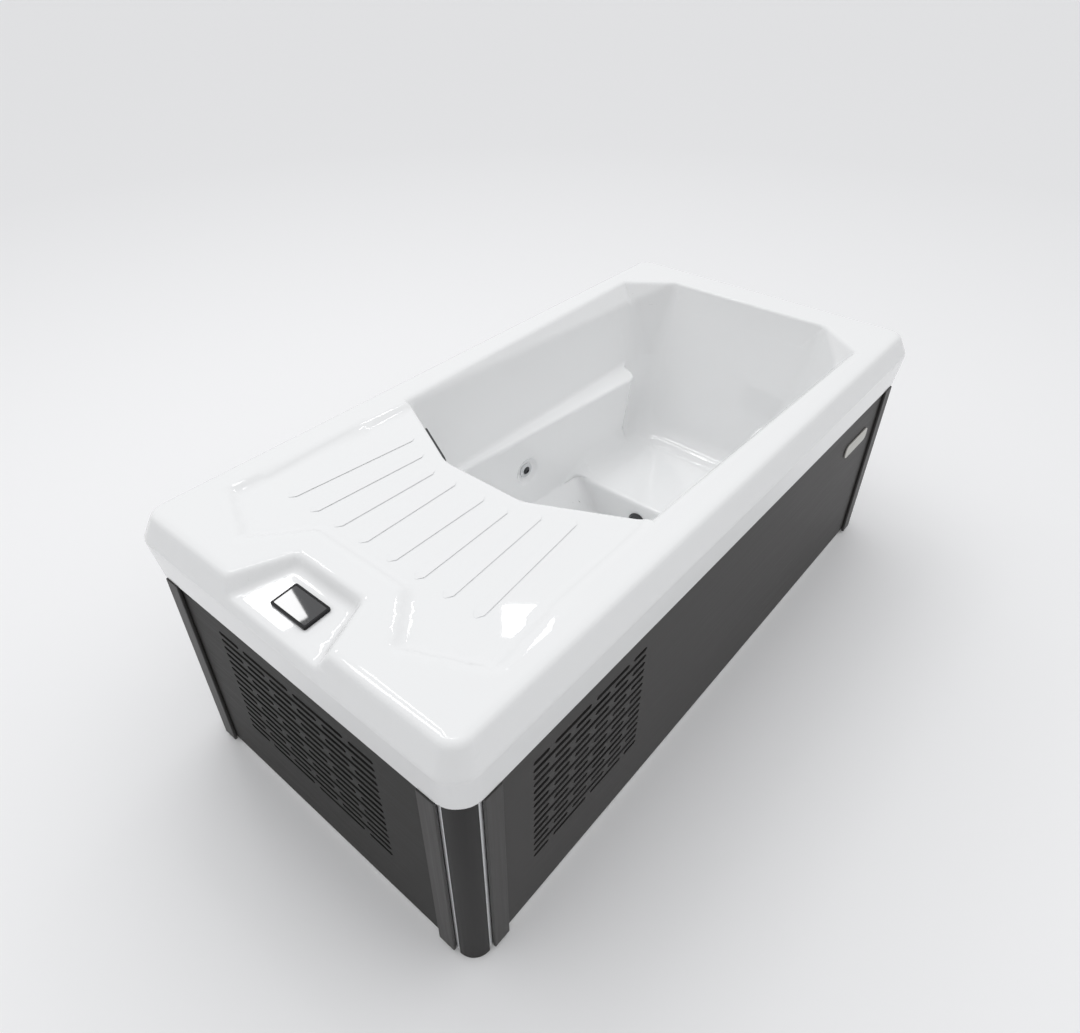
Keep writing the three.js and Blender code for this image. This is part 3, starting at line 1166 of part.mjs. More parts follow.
const leverMesh = piece('drain_lever', lever, 0xb3261e, 0.5);
leverMesh.rotation.x = Math.PI / 2;
leverMesh.position.set(valveX, sideRun - VALVE_SPINDLE - GAP, valveAxis);

// Control box on the far upright at the deck end, with the cable gland
const boxX = GAP - innerX;
const boxFoot = panelTop - BOX_HEIGHT;
const boxShape = rounded(rectangle(BOX_LENGTH / 2, BOX_HEIGHT / 2), BOX_ROUND, 3);
const controlBox = piece('control_box', prism(boxShape, BOX_DEPTH), 0x6d7276, 0.5);
controlBox.rotation.x = Math.PI / 2;
controlBox.position.set(boxX + BOX_LENGTH / 2, frameY, boxFoot + BOX_HEIGHT / 2);
const glandNeck = GLAND_RADIUS - GLAND_COLLAR / 2;
const glandCap = GLAND_LENGTH - 2 * GLAND_COLLAR;
const gland = revolve([
  [0, 0], [GLAND_RADIUS, 0], [GLAND_RADIUS, GLAND_COLLAR], [glandNeck, GLAND_COLLAR], [glandNeck, glandCap],
  [GLAND_RADIUS, glandCap], [GLAND_RADIUS, glandCap + GLAND_COLLAR], [GLAND_BORE, GLAND_LENGTH],
  [GLAND_BORE, GLAND_COLLAR], [0, GLAND_COLLAR],
], 12);
const glandMesh = piece('cable_gland', gland, ...BLACK);
glandMesh.rotation.x = Math.PI;
glandMesh.position.set(boxX + BOX_LENGTH / 3, frameY - BOX_DEPTH / 2, boxFoot - GAP);

export default part;
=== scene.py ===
"""Looks of a cold plunge tub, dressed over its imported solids. Metres, +Z up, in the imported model's frame."""

import logging
import math
from collections.abc import Callable
from dataclasses import dataclass, field
from enum import Enum

import bmesh
import bpy
import numpy as np
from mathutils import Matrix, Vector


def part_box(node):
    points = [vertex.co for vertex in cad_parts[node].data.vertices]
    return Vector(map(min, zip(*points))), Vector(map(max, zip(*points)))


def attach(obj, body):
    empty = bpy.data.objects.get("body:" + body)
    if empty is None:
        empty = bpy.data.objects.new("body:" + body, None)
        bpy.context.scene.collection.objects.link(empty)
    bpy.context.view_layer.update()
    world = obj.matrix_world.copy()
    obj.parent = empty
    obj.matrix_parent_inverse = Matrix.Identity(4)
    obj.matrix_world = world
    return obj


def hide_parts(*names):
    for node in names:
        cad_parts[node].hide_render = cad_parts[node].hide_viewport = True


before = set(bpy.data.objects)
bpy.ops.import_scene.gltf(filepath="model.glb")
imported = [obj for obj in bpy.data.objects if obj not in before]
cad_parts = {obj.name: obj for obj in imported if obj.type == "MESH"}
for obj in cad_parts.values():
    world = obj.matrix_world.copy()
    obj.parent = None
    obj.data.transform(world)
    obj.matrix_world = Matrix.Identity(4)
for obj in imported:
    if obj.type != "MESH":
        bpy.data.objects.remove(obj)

import openvdb
from mathutils import Matrix, Vector

logging.basicConfig(level=logging.INFO, format="%(message)s")
log = logging.getLogger("tub")

Colour = tuple[float, float, float]
Plan = tuple[float, float]
Spot = tuple[float, float, float]
CORNERS = ("deck_near", "deck_far", "seat_near", "seat_far")
MM = 0.001


class Surface(Enum):
    """What kind of detail a finish carries."""

    ACRYLIC = "acrylic"
    BOARD = "board"
    MOULDED = "moulded"
    BRUSHED = "brushed"
    PAINT = "paint"
    PLY = "ply"


class Along(Enum):
    """The direction that grain or brushing runs in."""

    X = 0
    Y = 1
    Z = 2


# Scale and stretch of the grain
GRAIN = {Surface.BOARD: (150.0, 0.03), Surface.BRUSHED: (900.0, 0.006), Surface.PLY: (60.0, 0.05)}
# Scale of the pebble and of the slow drift
SKIN = {Surface.ACRYLIC: (55.0, 2.2), Surface.MOULDED: (1400.0, 6.0), Surface.PAINT: (420.0, 5.0)}
TURN = {
    Along.X: (0.0, 0.0, 0.0),
    Along.Y: (0.0, 0.0, -math.pi / 2),
    Along.Z: (0.0, math.pi / 2, 0.0),
}
NOISE_SPAN = (0.3, 0.7)
GLOSS_SPREAD = 0.15
COAT_ROUGHNESS = 0.03
BUMP_STRENGTH = 0.6


def feed(tree: bpy.types.NodeTree, node: bpy.types.Node, inputs: dict) -> None:
    """Fills a node's inputs.

    Args:
        tree: The node's tree.
        node: The node.
        inputs: What goes into each socket, by name or number: a socket to link, or a plain value.
    """
    for key, value in inputs.items():
        if isinstance(value, bpy.types.NodeSocket):
            tree.links.new(value, node.inputs[key])
        else:
            node.inputs[key].default_value = value


def added(tree: bpy.types.NodeTree, kind: str, inputs: dict, **settings: object) -> bpy.types.Node:
    """Adds a node to a tree.

    Args:
        tree: The tree.
        kind: The node's type.
        inputs: What goes into its sockets, as for feed.
        settings: Values of the node's own properties.

    Returns:
        The node.
    """
    node = tree.nodes.new(kind)
    for key, value in settings.items():
        setattr(node, key, value)
    feed(tree, node, inputs)
    return node


def ramp(
    tree: bpy.types.NodeTree, factor: bpy.types.NodeSocket, low: Colour, high: Colour, span: Plan = (0.0, 1.0)
) -> bpy.types.NodeSocket:
    """Adds a fade between two colours.

    Args:
        tree: The tree.
        factor: What drives the fade.
        low: Colour at the start of the span.
        high: Colour at its end.
        span: The part of the factor's range that the fade takes.

    Returns:
        The colour's socket.
    """
    node = added(tree, "ShaderNodeValToRGB", {"Fac": factor})
    first, last = node.color_ramp.elements
    first.position, last.position = span
    first.color, last.color = (*low, 1.0), (*high, 1.0)
    return node.outputs["Color"]


class Groups:
    """Shader node groups that several finishes share. They give masks and heights, and no shaders."""

    @staticmethod
    def _new(name: str, inputs: dict[str, float]) -> bpy.types.NodeTree:
        """Makes a group with outputs Value and Fine and nothing between.

        Args:
            name: Name of the group.
            inputs: Float inputs and their defaults.

        Returns:
            The group, with its input and output nodes named "in" and "out".
        """
        tree = bpy.data.node_groups.new(name, "ShaderNodeTree")
        tree.interface.new_socket("Vector", in_out="INPUT", socket_type="NodeSocketVector")
        for key, value in inputs.items():
            socket = tree.interface.new_socket(key, in_out="INPUT", socket_type="NodeSocketFloat")
            socket.default_value = value
        for key in ("Value", "Fine"):
            tree.interface.new_socket(key, in_out="OUTPUT", socket_type="NodeSocketFloat")
        tree.nodes.new("NodeGroupInput").name = "in"
        tree.nodes.new("NodeGroupOutput").name = "out"
        return tree

    @classmethod
    def grain(cls) -> bpy.types.NodeTree:
        """Long fibres: noise drawn out along one axis, with a finer set between.

        Returns:
            The group.
        """
        name = "LongGrain"
        if name in bpy.data.node_groups:
            return bpy.data.node_groups[name]
        tree = cls._new(name, {"Scale": 260.0, "Stretch": 0.03})
        given = tree.nodes["in"].outputs
        squeeze = added(tree, "ShaderNodeCombineXYZ", {"X": given["Stretch"], "Y": 1.0, "Z": 1.0})
        drawn = added(
            tree, "ShaderNodeVectorMath", {0: given["Vector"], 1: squeeze.outputs["Vector"]}, operation="MULTIPLY"
        )
        for key, factor, detail in (("Value", 1.0, 4.0), ("Fine", 3.2, 2.0)):
            scale = added(tree, "ShaderNodeMath", {0: given["Scale"], 1: factor}, operation="MULTIPLY")
            noise = added(tree, "ShaderNodeTexNoise", {
                "Vector": drawn.outputs["Vector"], "Scale": scale.outputs["Value"],
                "Detail": detail, "Roughness": 0.6,
            })
            feed(tree, tree.nodes["out"], {key: noise.outputs["Fac"]})
        return tree

    @classmethod
    def skin(cls) -> bpy.types.NodeTree:
        """Moulded skin: a fine pebble and a slow drift of tone.

        Returns:
            The group.
        """
        name = "MouldedSkin"
        if name in bpy.data.node_groups:
            return bpy.data.node_groups[name]
        tree = cls._new(name, {"Pebble": 900.0, "Drift": 3.0})
        given = tree.nodes["in"].outputs
        for key, source, detail in (("Value", "Drift", 3.0), ("Fine", "Pebble", 1.0)):
            noise = added(tree, "ShaderNodeTexNoise", {
                "Vector": given["Vector"], "Scale": given[source], "Detail": detail,
            })
            feed(tree, tree.nodes["out"], {key: noise.outputs["Fac"]})
        return tree


@dataclass(frozen=True)
class Finish:
    """One material: a colour, a gloss and the detail of its surface."""

    name: str
    colour: Colour
    roughness: float
    surface: Surface
    metallic: float = 0.0
    coat: float = 0.0
    along: Along = Along.X
    tone: float = 0.12
    relief: float = 0.0002
    specular: float = 0.5
    slot: str = ""

    @property
    def cad_slot(self) -> str:
        """The CAD's slot that the finish belongs to, which mostly has its name."""
        return self.slot or self.name

    def material(self) -> bpy.types.Material:
        """Makes the material, or gives the one that was made before.

        Returns:
            The material.
        """
        name = f"look_{self.name}"
        if name in bpy.data.materials:
            return bpy.data.materials[name]
        material = bpy.data.materials.new(name)
        material.use_nodes = True
        tree = material.node_tree
        shader = tree.nodes["Principled BSDF"]
        feed(tree, shader, {
            "Metallic": self.metallic, "Coat Weight": self.coat, "Coat Roughness": COAT_ROUGHNESS,
            "Specular IOR Level": self.specular, "Base Color": (*self.colour, 1.0), "Roughness": self.roughness,
        })
        detail = self._detail(tree).outputs
        dark = tuple(c * (1.0 - self.tone) for c in self.colour)
        light = tuple(min(1.0, c * (1.0 + self.tone)) for c in self.colour)
        gloss = added(tree, "ShaderNodeMapRange", {
            "Value": detail["Value"], "From Min": NOISE_SPAN[0], "From Max": NOISE_SPAN[1],
            "To Min": self.roughness * (1.0 - GLOSS_SPREAD),
            "To Max": min(1.0, self.roughness * (1.0 + GLOSS_SPREAD)),
        })
        bump = added(tree, "ShaderNodeBump", {
            "Strength": BUMP_STRENGTH, "Distance": self.relief, "Height": detail["Fine"],
        })
        feed(tree, shader, {
            "Base Color": ramp(tree, detail["Value"], dark, light, NOISE_SPAN),
            "Roughness": gloss.outputs["Result"], "Normal": bump.outputs["Normal"],
        })
        return material

    def _detail(self, tree: bpy.types.NodeTree) -> bpy.types.Node:
        """Adds the shared group that this surface uses, fed with object coordinates.

        Args:
            tree: The material's nodes.

        Returns:
            The group node, with outputs Value and Fine.
        """
        place = added(tree, "ShaderNodeTexCoord", {}).outputs["Object"]
        if self.surface in SKIN:
            pebble, drift = SKIN[self.surface]
            inputs = {"Vector": place, "Pebble": pebble, "Drift": drift}
            return added(tree, "ShaderNodeGroup", inputs, node_tree=Groups.skin())
        turned = {"Vector": place, "Rotation": TURN[self.along]}
        turn = added(tree, "ShaderNodeVectorRotate", turned, rotation_type="EULER_XYZ")
        scale, stretch = GRAIN[self.surface]
        inputs = {"Vector": turn.outputs["Vector"], "Scale": scale, "Stretch": stretch}
        return added(tree, "ShaderNodeGroup", inputs, node_tree=Groups.grain())


ACRYLIC = Finish("acrylic_white", (0.875, 0.88, 0.882), 0.03, Surface.ACRYLIC, coat=0.3, tone=0.004,
                 relief=0.00004)
BOARD_X = Finish("board_x", (0.038, 0.036, 0.035), 0.50, Surface.BOARD, tone=0.45, specular=0.3,
                 slot="panel_charcoal")
# End panels: the side panels' charcoal board painted darker and less glossy, which is painted shade on the end
# faces; its grain runs along Y.
BOARD_Y_PAINTED_SHADE = Finish("board_y_painted_shade", (0.026, 0.025, 0.024), 0.55, Surface.BOARD, along=Along.Y, tone=0.45,
                 specular=0.2, slot="panel_charcoal")
BOARD_Z = Finish("board_z", (0.036, 0.034, 0.033), 0.50, Surface.BOARD, along=Along.Z, tone=0.30,
                 slot="panel_charcoal")
EDGE = Finish("board_edge", (0.012, 0.012, 0.012), 0.6, Surface.MOULDED, slot="panel_charcoal")
POST = Finish("post_dark", (0.030, 0.029, 0.029), 0.42, Surface.BOARD, along=Along.Z, tone=0.18,
              relief=0.0001, specular=0.12)
SILVER = Finish("trim_silver", (0.72, 0.73, 0.74), 0.30, Surface.BRUSHED, metallic=1.0, along=Along.Z,
                tone=0.05, relief=0.00002)
BEZEL = Finish("bezel_black", (0.006, 0.006, 0.007), 0.3, Surface.MOULDED, relief=0.00001, specular=0.2)
GLASS = Finish("control_glass", (0.012, 0.013, 0.015), 0.03, Surface.MOULDED, coat=1.0, relief=0.000002,
               specular=0.8)
FITTING = Finish("fitting_dark", (0.028, 0.030, 0.033), 0.34, Surface.MOULDED, relief=0.00003)
FITTING_RING = Finish("fitting_ring", (0.62, 0.63, 0.64), 0.22, Surface.MOULDED, relief=0.00002,
                      slot="fitting_dark")
BADGE = Finish("badge_pale", (0.50, 0.495, 0.46), 0.35, Surface.BRUSHED, metallic=0.6, tone=0.06,
               relief=0.00002)
PAN = Finish("pan_pale", (0.62, 0.62, 0.60), 0.6, Surface.MOULDED)
FRAME_STEEL = Finish("frame_steel", (0.30, 0.31, 0.32), 0.45, Surface.PAINT, metallic=0.3)
PLY = Finish("support_ply", (0.50, 0.40, 0.27), 0.75, Surface.PLY, tone=0.2)
SHEET = Finish("sheet_steel", (0.52, 0.53, 0.54), 0.35, Surface.BRUSHED, metallic=1.0, tone=0.05)
SHROUD = Finish("shroud_black", (0.020, 0.020, 0.021), 0.45, Surface.PAINT)
FAN_PLASTIC = Finish("fan_black", (0.024, 0.024, 0.026), 0.5, Surface.MOULDED)
FINS = Finish("condenser_fins", (0.55, 0.56, 0.57), 0.4, Surface.BRUSHED, metallic=1.0, along=Along.Z,
              tone=0.08)
COMPRESSOR = Finish("compressor_black", (0.018, 0.018, 0.019), 0.35, Surface.PAINT)
MOTOR = Finish("motor_grey", (0.06, 0.065, 0.07), 0.45, Surface.PAINT)
PIPE = Finish("pipe_grey", (0.52, 0.54, 0.55), 0.4, Surface.MOULDED, tone=0.05)
COOLER = Finish("cooler_grey", (0.30, 0.32, 0.34), 0.4, Surface.PAINT)
BRASS = Finish("valve_brass", (0.55, 0.40, 0.16), 0.3, Surface.PAINT, metallic=1.0)
RED = Finish("lever_red", (0.42, 0.03, 0.02), 0.45, Surface.MOULDED)
BOX = Finish("box_grey", (0.19, 0.20, 0.21), 0.5, Surface.MOULDED)


class Workshop:
    """Mesh work that the sub-assemblies share."""

    flat_angle = 1.0
    soft_angle = 30.0
    smooth_angle = 35.0
    merge_distance = 1e-5
    normal_weight = 60

    @staticmethod
    def piece(
        name: str, mesh: bpy.types.Mesh, body: str, finishes: list[Finish], *nodes: str
    ) -> bpy.types.Object:
        """Makes an object of a mesh, and has it ride on a body in place of CAD nodes.

        Args:
            name: Name of the piece.
            mesh: Its mesh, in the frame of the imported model.
            body: The CAD body that it moves with.
            finishes: Its finishes, in the order of the mesh's material indices.
            nodes: The CAD nodes that it stands for.

        Returns:
            The object.
        """
        obj = bpy.data.objects.new(name, mesh)
        bpy.context.scene.collection.objects.link(obj)
        mesh.materials.clear()
        for finish in finishes:
            mesh.materials.append(finish.material())
        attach(obj, body)
        if nodes:
            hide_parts(*nodes)
        log.info("piece %s", name)
        return obj

    @staticmethod
    def evaluated(
        mesh: bpy.types.Mesh, kind: str, group: tuple[str, list[int]] | None = None, **settings: object
    ) -> bpy.types.Mesh:
        """Runs one modifier over a mesh and keeps what comes out.

        Args:
            mesh: The mesh, which is used up.
            kind: The modifier's type.
            group: Name and points of a vertex group, where the modifier needs one.
            settings: Values of the modifier's own properties.

        Returns:
            A plain mesh.
        """
        obj = bpy.data.objects.new(mesh.name, mesh)
        bpy.context.scene.collection.objects.link(obj)
        if group:
            obj.vertex_groups.new(name=group[0]).add(group[1], 1.0, "REPLACE")
        modifier = obj.modifiers.new(kind, kind)
        for key, value in settings.items():
            setattr(modifier, key, value)
        bpy.context.view_layer.update()
        graph = bpy.context.evaluated_depsgraph_get()
        result = bpy.data.meshes.new_from_object(obj.evaluated_get(graph))
        bpy.data.objects.remove(obj)
        bpy.data.meshes.remove(mesh)
        return result

    @staticmethod
    def faced(name: str, points: np.ndarray, triangles: np.ndarray, quads: np.ndarray) -> bpy.types.Mesh:
        """A mesh of points, triangles and quads.

        Args:
            name: Name of the mesh.
            points: Points in metres, one to a row.
            triangles: Corners of each triangle.
            quads: Corners of each quad.

        Returns:
            The mesh.
        """
        corners = np.concatenate([np.asarray(triangles).ravel(), np.asarray(quads).ravel()]).astype(np.int32)
        sizes = np.repeat(np.array([3, 4], dtype=np.int32), [len(triangles), len(quads)])
        mesh = bpy.data.meshes.new(name)
        mesh.vertices.add(len(points))
        mesh.vertices.foreach_set("co", points.astype(np.float32).ravel())
        mesh.loops.add(len(corners))
        mesh.loops.foreach_set("vertex_index", corners)
        mesh.polygons.add(len(sizes))
        mesh.polygons.foreach_set("loop_start", (np.cumsum(sizes) - sizes).astype(np.int32))
        mesh.update(calc_edges=True)
        mesh.validate()
        return mesh

    @classmethod
    def _merged(cls, node: str) -> bmesh.types.BMesh:
        """A CAD node's shape, with its loose triangles joined.

        Args:
            node: The CAD node.

        Returns:
            The shape.
        """
        shape = bmesh.new()
        shape.from_mesh(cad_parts[node].data)
        bmesh.ops.remove_doubles(shape, verts=shape.verts, dist=cls.merge_distance)
        return shape

    @staticmethod
    def shaded(shape: bmesh.types.BMesh, name: str, angle: float = 180.0) -> bpy.types.Mesh:
        """Ends a shape as a mesh that is shaded smoothly.

        Args:
            shape: The shape, which is used up.
            name: Name of the mesh.
            angle: Edges sharper than this, in degrees, stay sharp.

        Returns:
            The mesh.
        """
        for face in shape.faces:
            face.smooth = True
        if angle < 180.0:
            for edge in shape.edges:
                edge.smooth = len(edge.link_faces) == 2 and edge.calc_face_angle(0.0) < math.radians(angle)
        mesh = bpy.data.meshes.new(name)
        shape.to_mesh(mesh)
        shape.free()
        return mesh

    @classmethod
    def softened(cls, node: str, width: float, segments: int = 2) -> bpy.types.Mesh:
        """A copy of a CAD node's mesh with its edges rounded and normals that follow its large faces.

        Args:
            node: The CAD node.
            width: How far the rounding reaches from an edge.
            segments: Steps in a rounding.

        Returns:
            The mesh.
        """
        shape = cls._merged(node)
        flat = math.radians(cls.flat_angle)
        bmesh.ops.dissolve_limit(shape, angle_limit=flat, verts=shape.verts, edges=shape.edges)
        least = math.radians(cls.soft_angle)
        edges = [e for e in shape.edges if len(e.link_faces) == 2 and e.calc_face_angle(0.0) > least]
        bmesh.ops.bevel(
            shape, geom=edges, offset=width, segments=segments, profile=0.5, affect="EDGES", clamp_overlap=True
        )
        mesh = cls.shaded(shape, node)
        return cls.evaluated(mesh, "WEIGHTED_NORMAL", weight=cls.normal_weight, keep_sharp=True)

    @classmethod
    def smooth(cls, node: str) -> bpy.types.Mesh:
        """A copy of a CAD node's mesh, shaded smoothly over its flat facets."""
        return cls.shaded(cls._merged(node), node, cls.smooth_angle)

    @staticmethod
    def paint(node: str, finish: Finish) -> None:
        """Gives a CAD node that stays a finish.

        Args:
            node: The CAD node.
            finish: Its finish.
        """
        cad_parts[node].data.materials.clear()
        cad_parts[node].data.materials.append(finish.material())
        log.info("finish %s on %s", finish.name, node)


class Repeats:
    """Geometry Nodes trees for what repeats. Each ends as a plain mesh."""

    bar_top = 0.55
    bar_end = 0.25

    @staticmethod
    def _tree(name: str, sizes: dict[str, float]) -> bpy.types.NodeTree:
        """Makes a tree with a geometry input and named sizes.

        Args:
            name: Name of the tree.
            sizes: Sizes and their values.

        Returns:
            The tree, with nodes named "in" and "out".
        """
        tree = bpy.data.node_groups.new(name, "GeometryNodeTree")
        for way in ("INPUT", "OUTPUT"):
            tree.interface.new_socket("Geometry", in_out=way, socket_type="NodeSocketGeometry")
        for key, value in sizes.items():
            socket = tree.interface.new_socket(key, in_out="INPUT", socket_type="NodeSocketFloat")
            socket.default_value = value
        tree.nodes.new("NodeGroupInput").name = "in"
        tree.nodes.new("NodeGroupOutput").name = "out"
        return tree

    @classmethod
    def bars(cls, lines: bpy.types.Mesh, width: float, rise: float, finish: Finish) -> bpy.types.Mesh:
        """Low flat-topped bars along the lines of a mesh, with sloped sides and small ends.

        Args:
            lines: Mesh whose edges are the bars' middles, which is used up.
            width: Width of a bar's foot.
            rise: Height of a bar.
            finish: Its finish.

        Returns:
            The bars.
        """
        sizes = {"Foot": width, "Top": cls.bar_top * width, "Rise": rise, "End": cls.bar_end}
        tree = cls._tree("rib_bars", sizes)
        given = tree.nodes["in"].outputs
        path = added(tree, "GeometryNodeMeshToCurve", {"Mesh": given["Geometry"]})
        ends = added(tree, "GeometryNodeCurveEndpointSelection", {})
        taper = added(tree, "GeometryNodeSwitch", {
            "Switch": ends.outputs["Selection"], "False": 1.0, "True": given["End"],
        }, input_type="FLOAT")
        radius = added(tree, "GeometryNodeSetCurveRadius", {
            "Curve": path.outputs["Curve"], "Radius": taper.outputs["Output"],
        })
        profile = added(tree, "GeometryNodeCurvePrimitiveQuadrilateral", {
            "Bottom Width": given["Foot"], "Top Width": given["Top"], "Height": given["Rise"], "Offset": 0.0,
        }, mode="TRAPEZOID")
        sweep = added(tree, "GeometryNodeCurveToMesh", {
            "Curve": radius.outputs["Curve"], "Profile Curve": profile.outputs["Curve"], "Fill Caps": True,
        })
        if "Scale" in sweep.inputs:
            size = added(tree, "GeometryNodeInputRadius", {})
            feed(tree, sweep, {"Scale": size.outputs["Radius"]})
        real = added(tree, "GeometryNodeRealizeInstances", {"Geometry": sweep.outputs["Mesh"]})
        flat = added(tree, "GeometryNodeSetShadeSmooth", {
            "Geometry": real.outputs["Geometry"], "Shade Smooth": False,
        })
        dress = added(tree, "GeometryNodeSetMaterial", {
            "Geometry": flat.outputs["Geometry"], "Material": finish.material(),
        })
        feed(tree, tree.nodes["out"], {"Geometry": dress.outputs["Geometry"]})
        return Workshop.evaluated(lines, "NODES", node_group=tree)


@dataclass(frozen=True)
class Cloud:
    """Points in millimetres, as arrays that broadcast together. The tub's two sides differ only by its jet."""

    x: np.ndarray
    y: np.ndarray
    z: np.ndarray

    @property
    def side(self) -> np.ndarray:
        """Distance from the middle plane."""
        return np.abs(self.y)


Field = Callable[[Cloud], np.ndarray]


def joined_wall(a: np.ndarray, b: np.ndarray, reach: float | np.ndarray) -> np.ndarray:
    """The greater of two fields, blended over a reach: rounds the inside of a hollow.

    Args:
        a: First field.
        b: Second field.
        reach: How far the blend goes, in millimetres.

    Returns:
        The blended field.
    """
    near = np.maximum(reach - np.abs(a - b), 0.0)
    return np.maximum(a, b) + near * near / (4.0 * reach)


def joined_space(a: np.ndarray, b: np.ndarray, reach: float | np.ndarray) -> np.ndarray:
    """The lesser of two fields, blended over a reach: rounds the edge between two hollows."""
    return -joined_wall(-a, -b, reach)


@dataclass(frozen=True)
class Change:
    """A reach that goes from one value to another over a stretch about a place. Millimetres."""

    stretch: Plan
    reach: Plan

    def at(self, where: np.ndarray, place: float = 0.0) -> np.ndarray:
        """The reach at points of an axis, with the stretch set about a place on it."""
        return np.interp(where, [place + s for s in self.stretch], self.reach)


@dataclass(frozen=True)
class Wall:
    """A leaning wall: outward direction in plan, distance at a level, and draft below that level."""

    x: float
    y: float
    distance: float
    draft: float = 0.0
    level: float = 0.0

    @classmethod
    def through(cls, a: Plan, b: Plan, draft: float = 0.0, level: float = 0.0) -> "Wall":
        """A wall over the line from a to b, with the open space on its right.

        Args:
            a: First point in plan.
            b: Second point in plan.
            draft: How far the wall moves in for each millimetre of depth.
            level: Height at which the wall stands on the line.

        Returns:
            The wall.
        """
        along = Vector((b[0] - a[0], b[1] - a[1])).normalized()
        return cls(-along.y, along.x, -along.y * a[0] + along.x * a[1], draft, level)

    def field(self, p: Cloud) -> np.ndarray:
        """Distance beyond the wall."""
        depth = self.draft * (self.level - p.z)
        return (self.x * p.x + self.y * p.side - self.distance + depth) / math.hypot(1.0, self.draft)


@dataclass(frozen=True)
class Sampler:
    """Draws the zero surface of a field as a mesh. Sizes are in millimetres."""

    low: Spot = (-1036.0, -524.0, 92.0)
    high: Spot = (1036.0, 524.0, 762.0)
    cell: float = 3.0
    block: int = 4
    band_cells: float = 3.0
    near_blocks: float = 1.15
    batch: int = 20000
    tolerance: float = 1e-4
    adaptivity: float = 0.1
    most_faces: int = 185000
    thin_factor: float = 0.002
    slope_step: float = 1.2
    least_slope: float = 0.05
    settle_steps: int = 2

    def measured(self, solid: Field, points: np.ndarray) -> tuple[np.ndarray, np.ndarray]:
        """The field at points and its slope there.

        Args:
            solid: The field.
            points: Points in millimetres, one to a row.

        Returns:
            The field and its gradient.
        """
        def value(axis: int, move: float) -> np.ndarray:
            """The field beside the points."""
            return solid(Cloud(*(points[:, k] + (move if k == axis else 0.0) for k in range(3))))

        step = self.slope_step
        slope = np.stack([value(k, step) - value(k, -step) for k in range(3)], axis=1) / (2.0 * step)
        return value(0, 0.0), slope

    def settled(self, solid: Field, points: np.ndarray) -> np.ndarray:
        """Moves points on to the field's zero surface.

        Args:
            solid: The field.
            points: Points in millimetres, one to a row.

        Returns:
            The points on the surface.
        """
        for _ in range(self.settle_steps):
            value, slope = self.measured(solid, points)
            steep = np.maximum((slope ** 2).sum(axis=1), self.least_slope)
            move = np.clip(value / steep, -self.cell, self.cell)
            points = points - slope * move[:, None]
        return points

    def _grid(self, solid: Field) -> openvdb.FloatGrid:
        """Samples the field coarsely, and each cell near its zero surface finely.

        Args:
            solid: The field.

        Returns:
            The samples.
        """
        start, far = np.array(self.low), np.array(self.high)
        side, band = self.block * self.cell, self.band_cells * self.cell
        count = np.ceil((far - start) / side).astype(int)
        middle = [start[k] + side * (np.arange(count[k]) + 0.5) - 0.5 * self.cell for k in range(3)]
        rough = solid(Cloud(middle[0][:, None, None], middle[1][None, :, None], middle[2][None, None, :]))
        values = np.clip(rough, -band, band).astype(np.float32)
        for axis in range(3):
            values = np.repeat(values, self.block, axis=axis)
        near = np.argwhere(np.abs(rough) < self.near_blocks * side + band) * self.block
        steps = np.stack(np.meshgrid(*[np.arange(self.block)] * 3, indexing="ij"), axis=-1).reshape(-1, 3)
        for at in range(0, len(near), self.batch):
            index = (near[at:at + self.batch, None, :] + steps[None, :, :]).reshape(-1, 3)
            place = start + self.cell * index
            fine = solid(Cloud(place[:, 0], place[:, 1], place[:, 2]))
            values[index[:, 0], index[:, 1], index[:, 2]] = np.clip(fine, -band, band)
        grid = openvdb.FloatGrid(band)
        grid.copyFromArray(values, tolerance=self.tolerance)
        return grid

    def skin(self, name: str, solid: Field, kept: Callable[[np.ndarray, np.ndarray], np.ndarray]) -> bpy.types.Mesh:
        """Draws the zero surface, thins it and moves each point on to it.

        Args:
            name: Name of the mesh.
            solid: The field.
            kept: Says of points and their slopes which keep their faces when the rest is thinned.

        Returns:
            The mesh, with the field's own normals.
        """
        drawn = self._grid(solid).convertToPolygons(isovalue=0.0, adaptivity=self.adaptivity)
        points, triangles, quads = drawn
        points = self.settled(solid, np.asarray(points, dtype=float) * self.cell + np.array(self.low))
        rough = Workshop.faced(name, points * MM, triangles, quads)
        loose = np.flatnonzero(~kept(points, self.measured(solid, points)[1])).tolist()
        share = min(1.0, self.most_faces / (len(triangles) + 2 * len(quads)))
        mesh = Workshop.evaluated(
            rough, "DECIMATE", ("loose", loose), ratio=share, vertex_group="loose",
            vertex_group_factor=self.thin_factor,
        )
        flat = np.empty(3 * len(mesh.vertices), dtype=np.float32)
        mesh.vertices.foreach_get("co", flat)
        points = self.settled(solid, flat.reshape(-1, 3).astype(float) * 1000.0)
        mesh.vertices.foreach_set("co", (points * MM).astype(np.float32).ravel())
        for polygon in mesh.polygons:
            polygon.use_smooth = True
        slope = self.measured(solid, points)[1]
        slope /= np.maximum(np.linalg.norm(slope, axis=1), 1e-6)[:, None]
        mesh.normals_split_custom_set_from_vertices(slope.tolist())
        mesh.update()
        log.info("%s: %d points, %d faces", name, len(mesh.vertices), len(mesh.polygons))
        return mesh


@dataclass(frozen=True)
class Drafts:
    """How far each wall of the shell moves in for a millimetre of depth."""

    side: float = 0.307
    corner: float = 0.276
    corner_low: float = 0.16
    back: float = 0.35
    lip: float = 0.12
    niche: float = -0.036
    arm: float = 0.03
    tray: float = 2.0
    recess: float = 0.7
    dish: float = 0.9


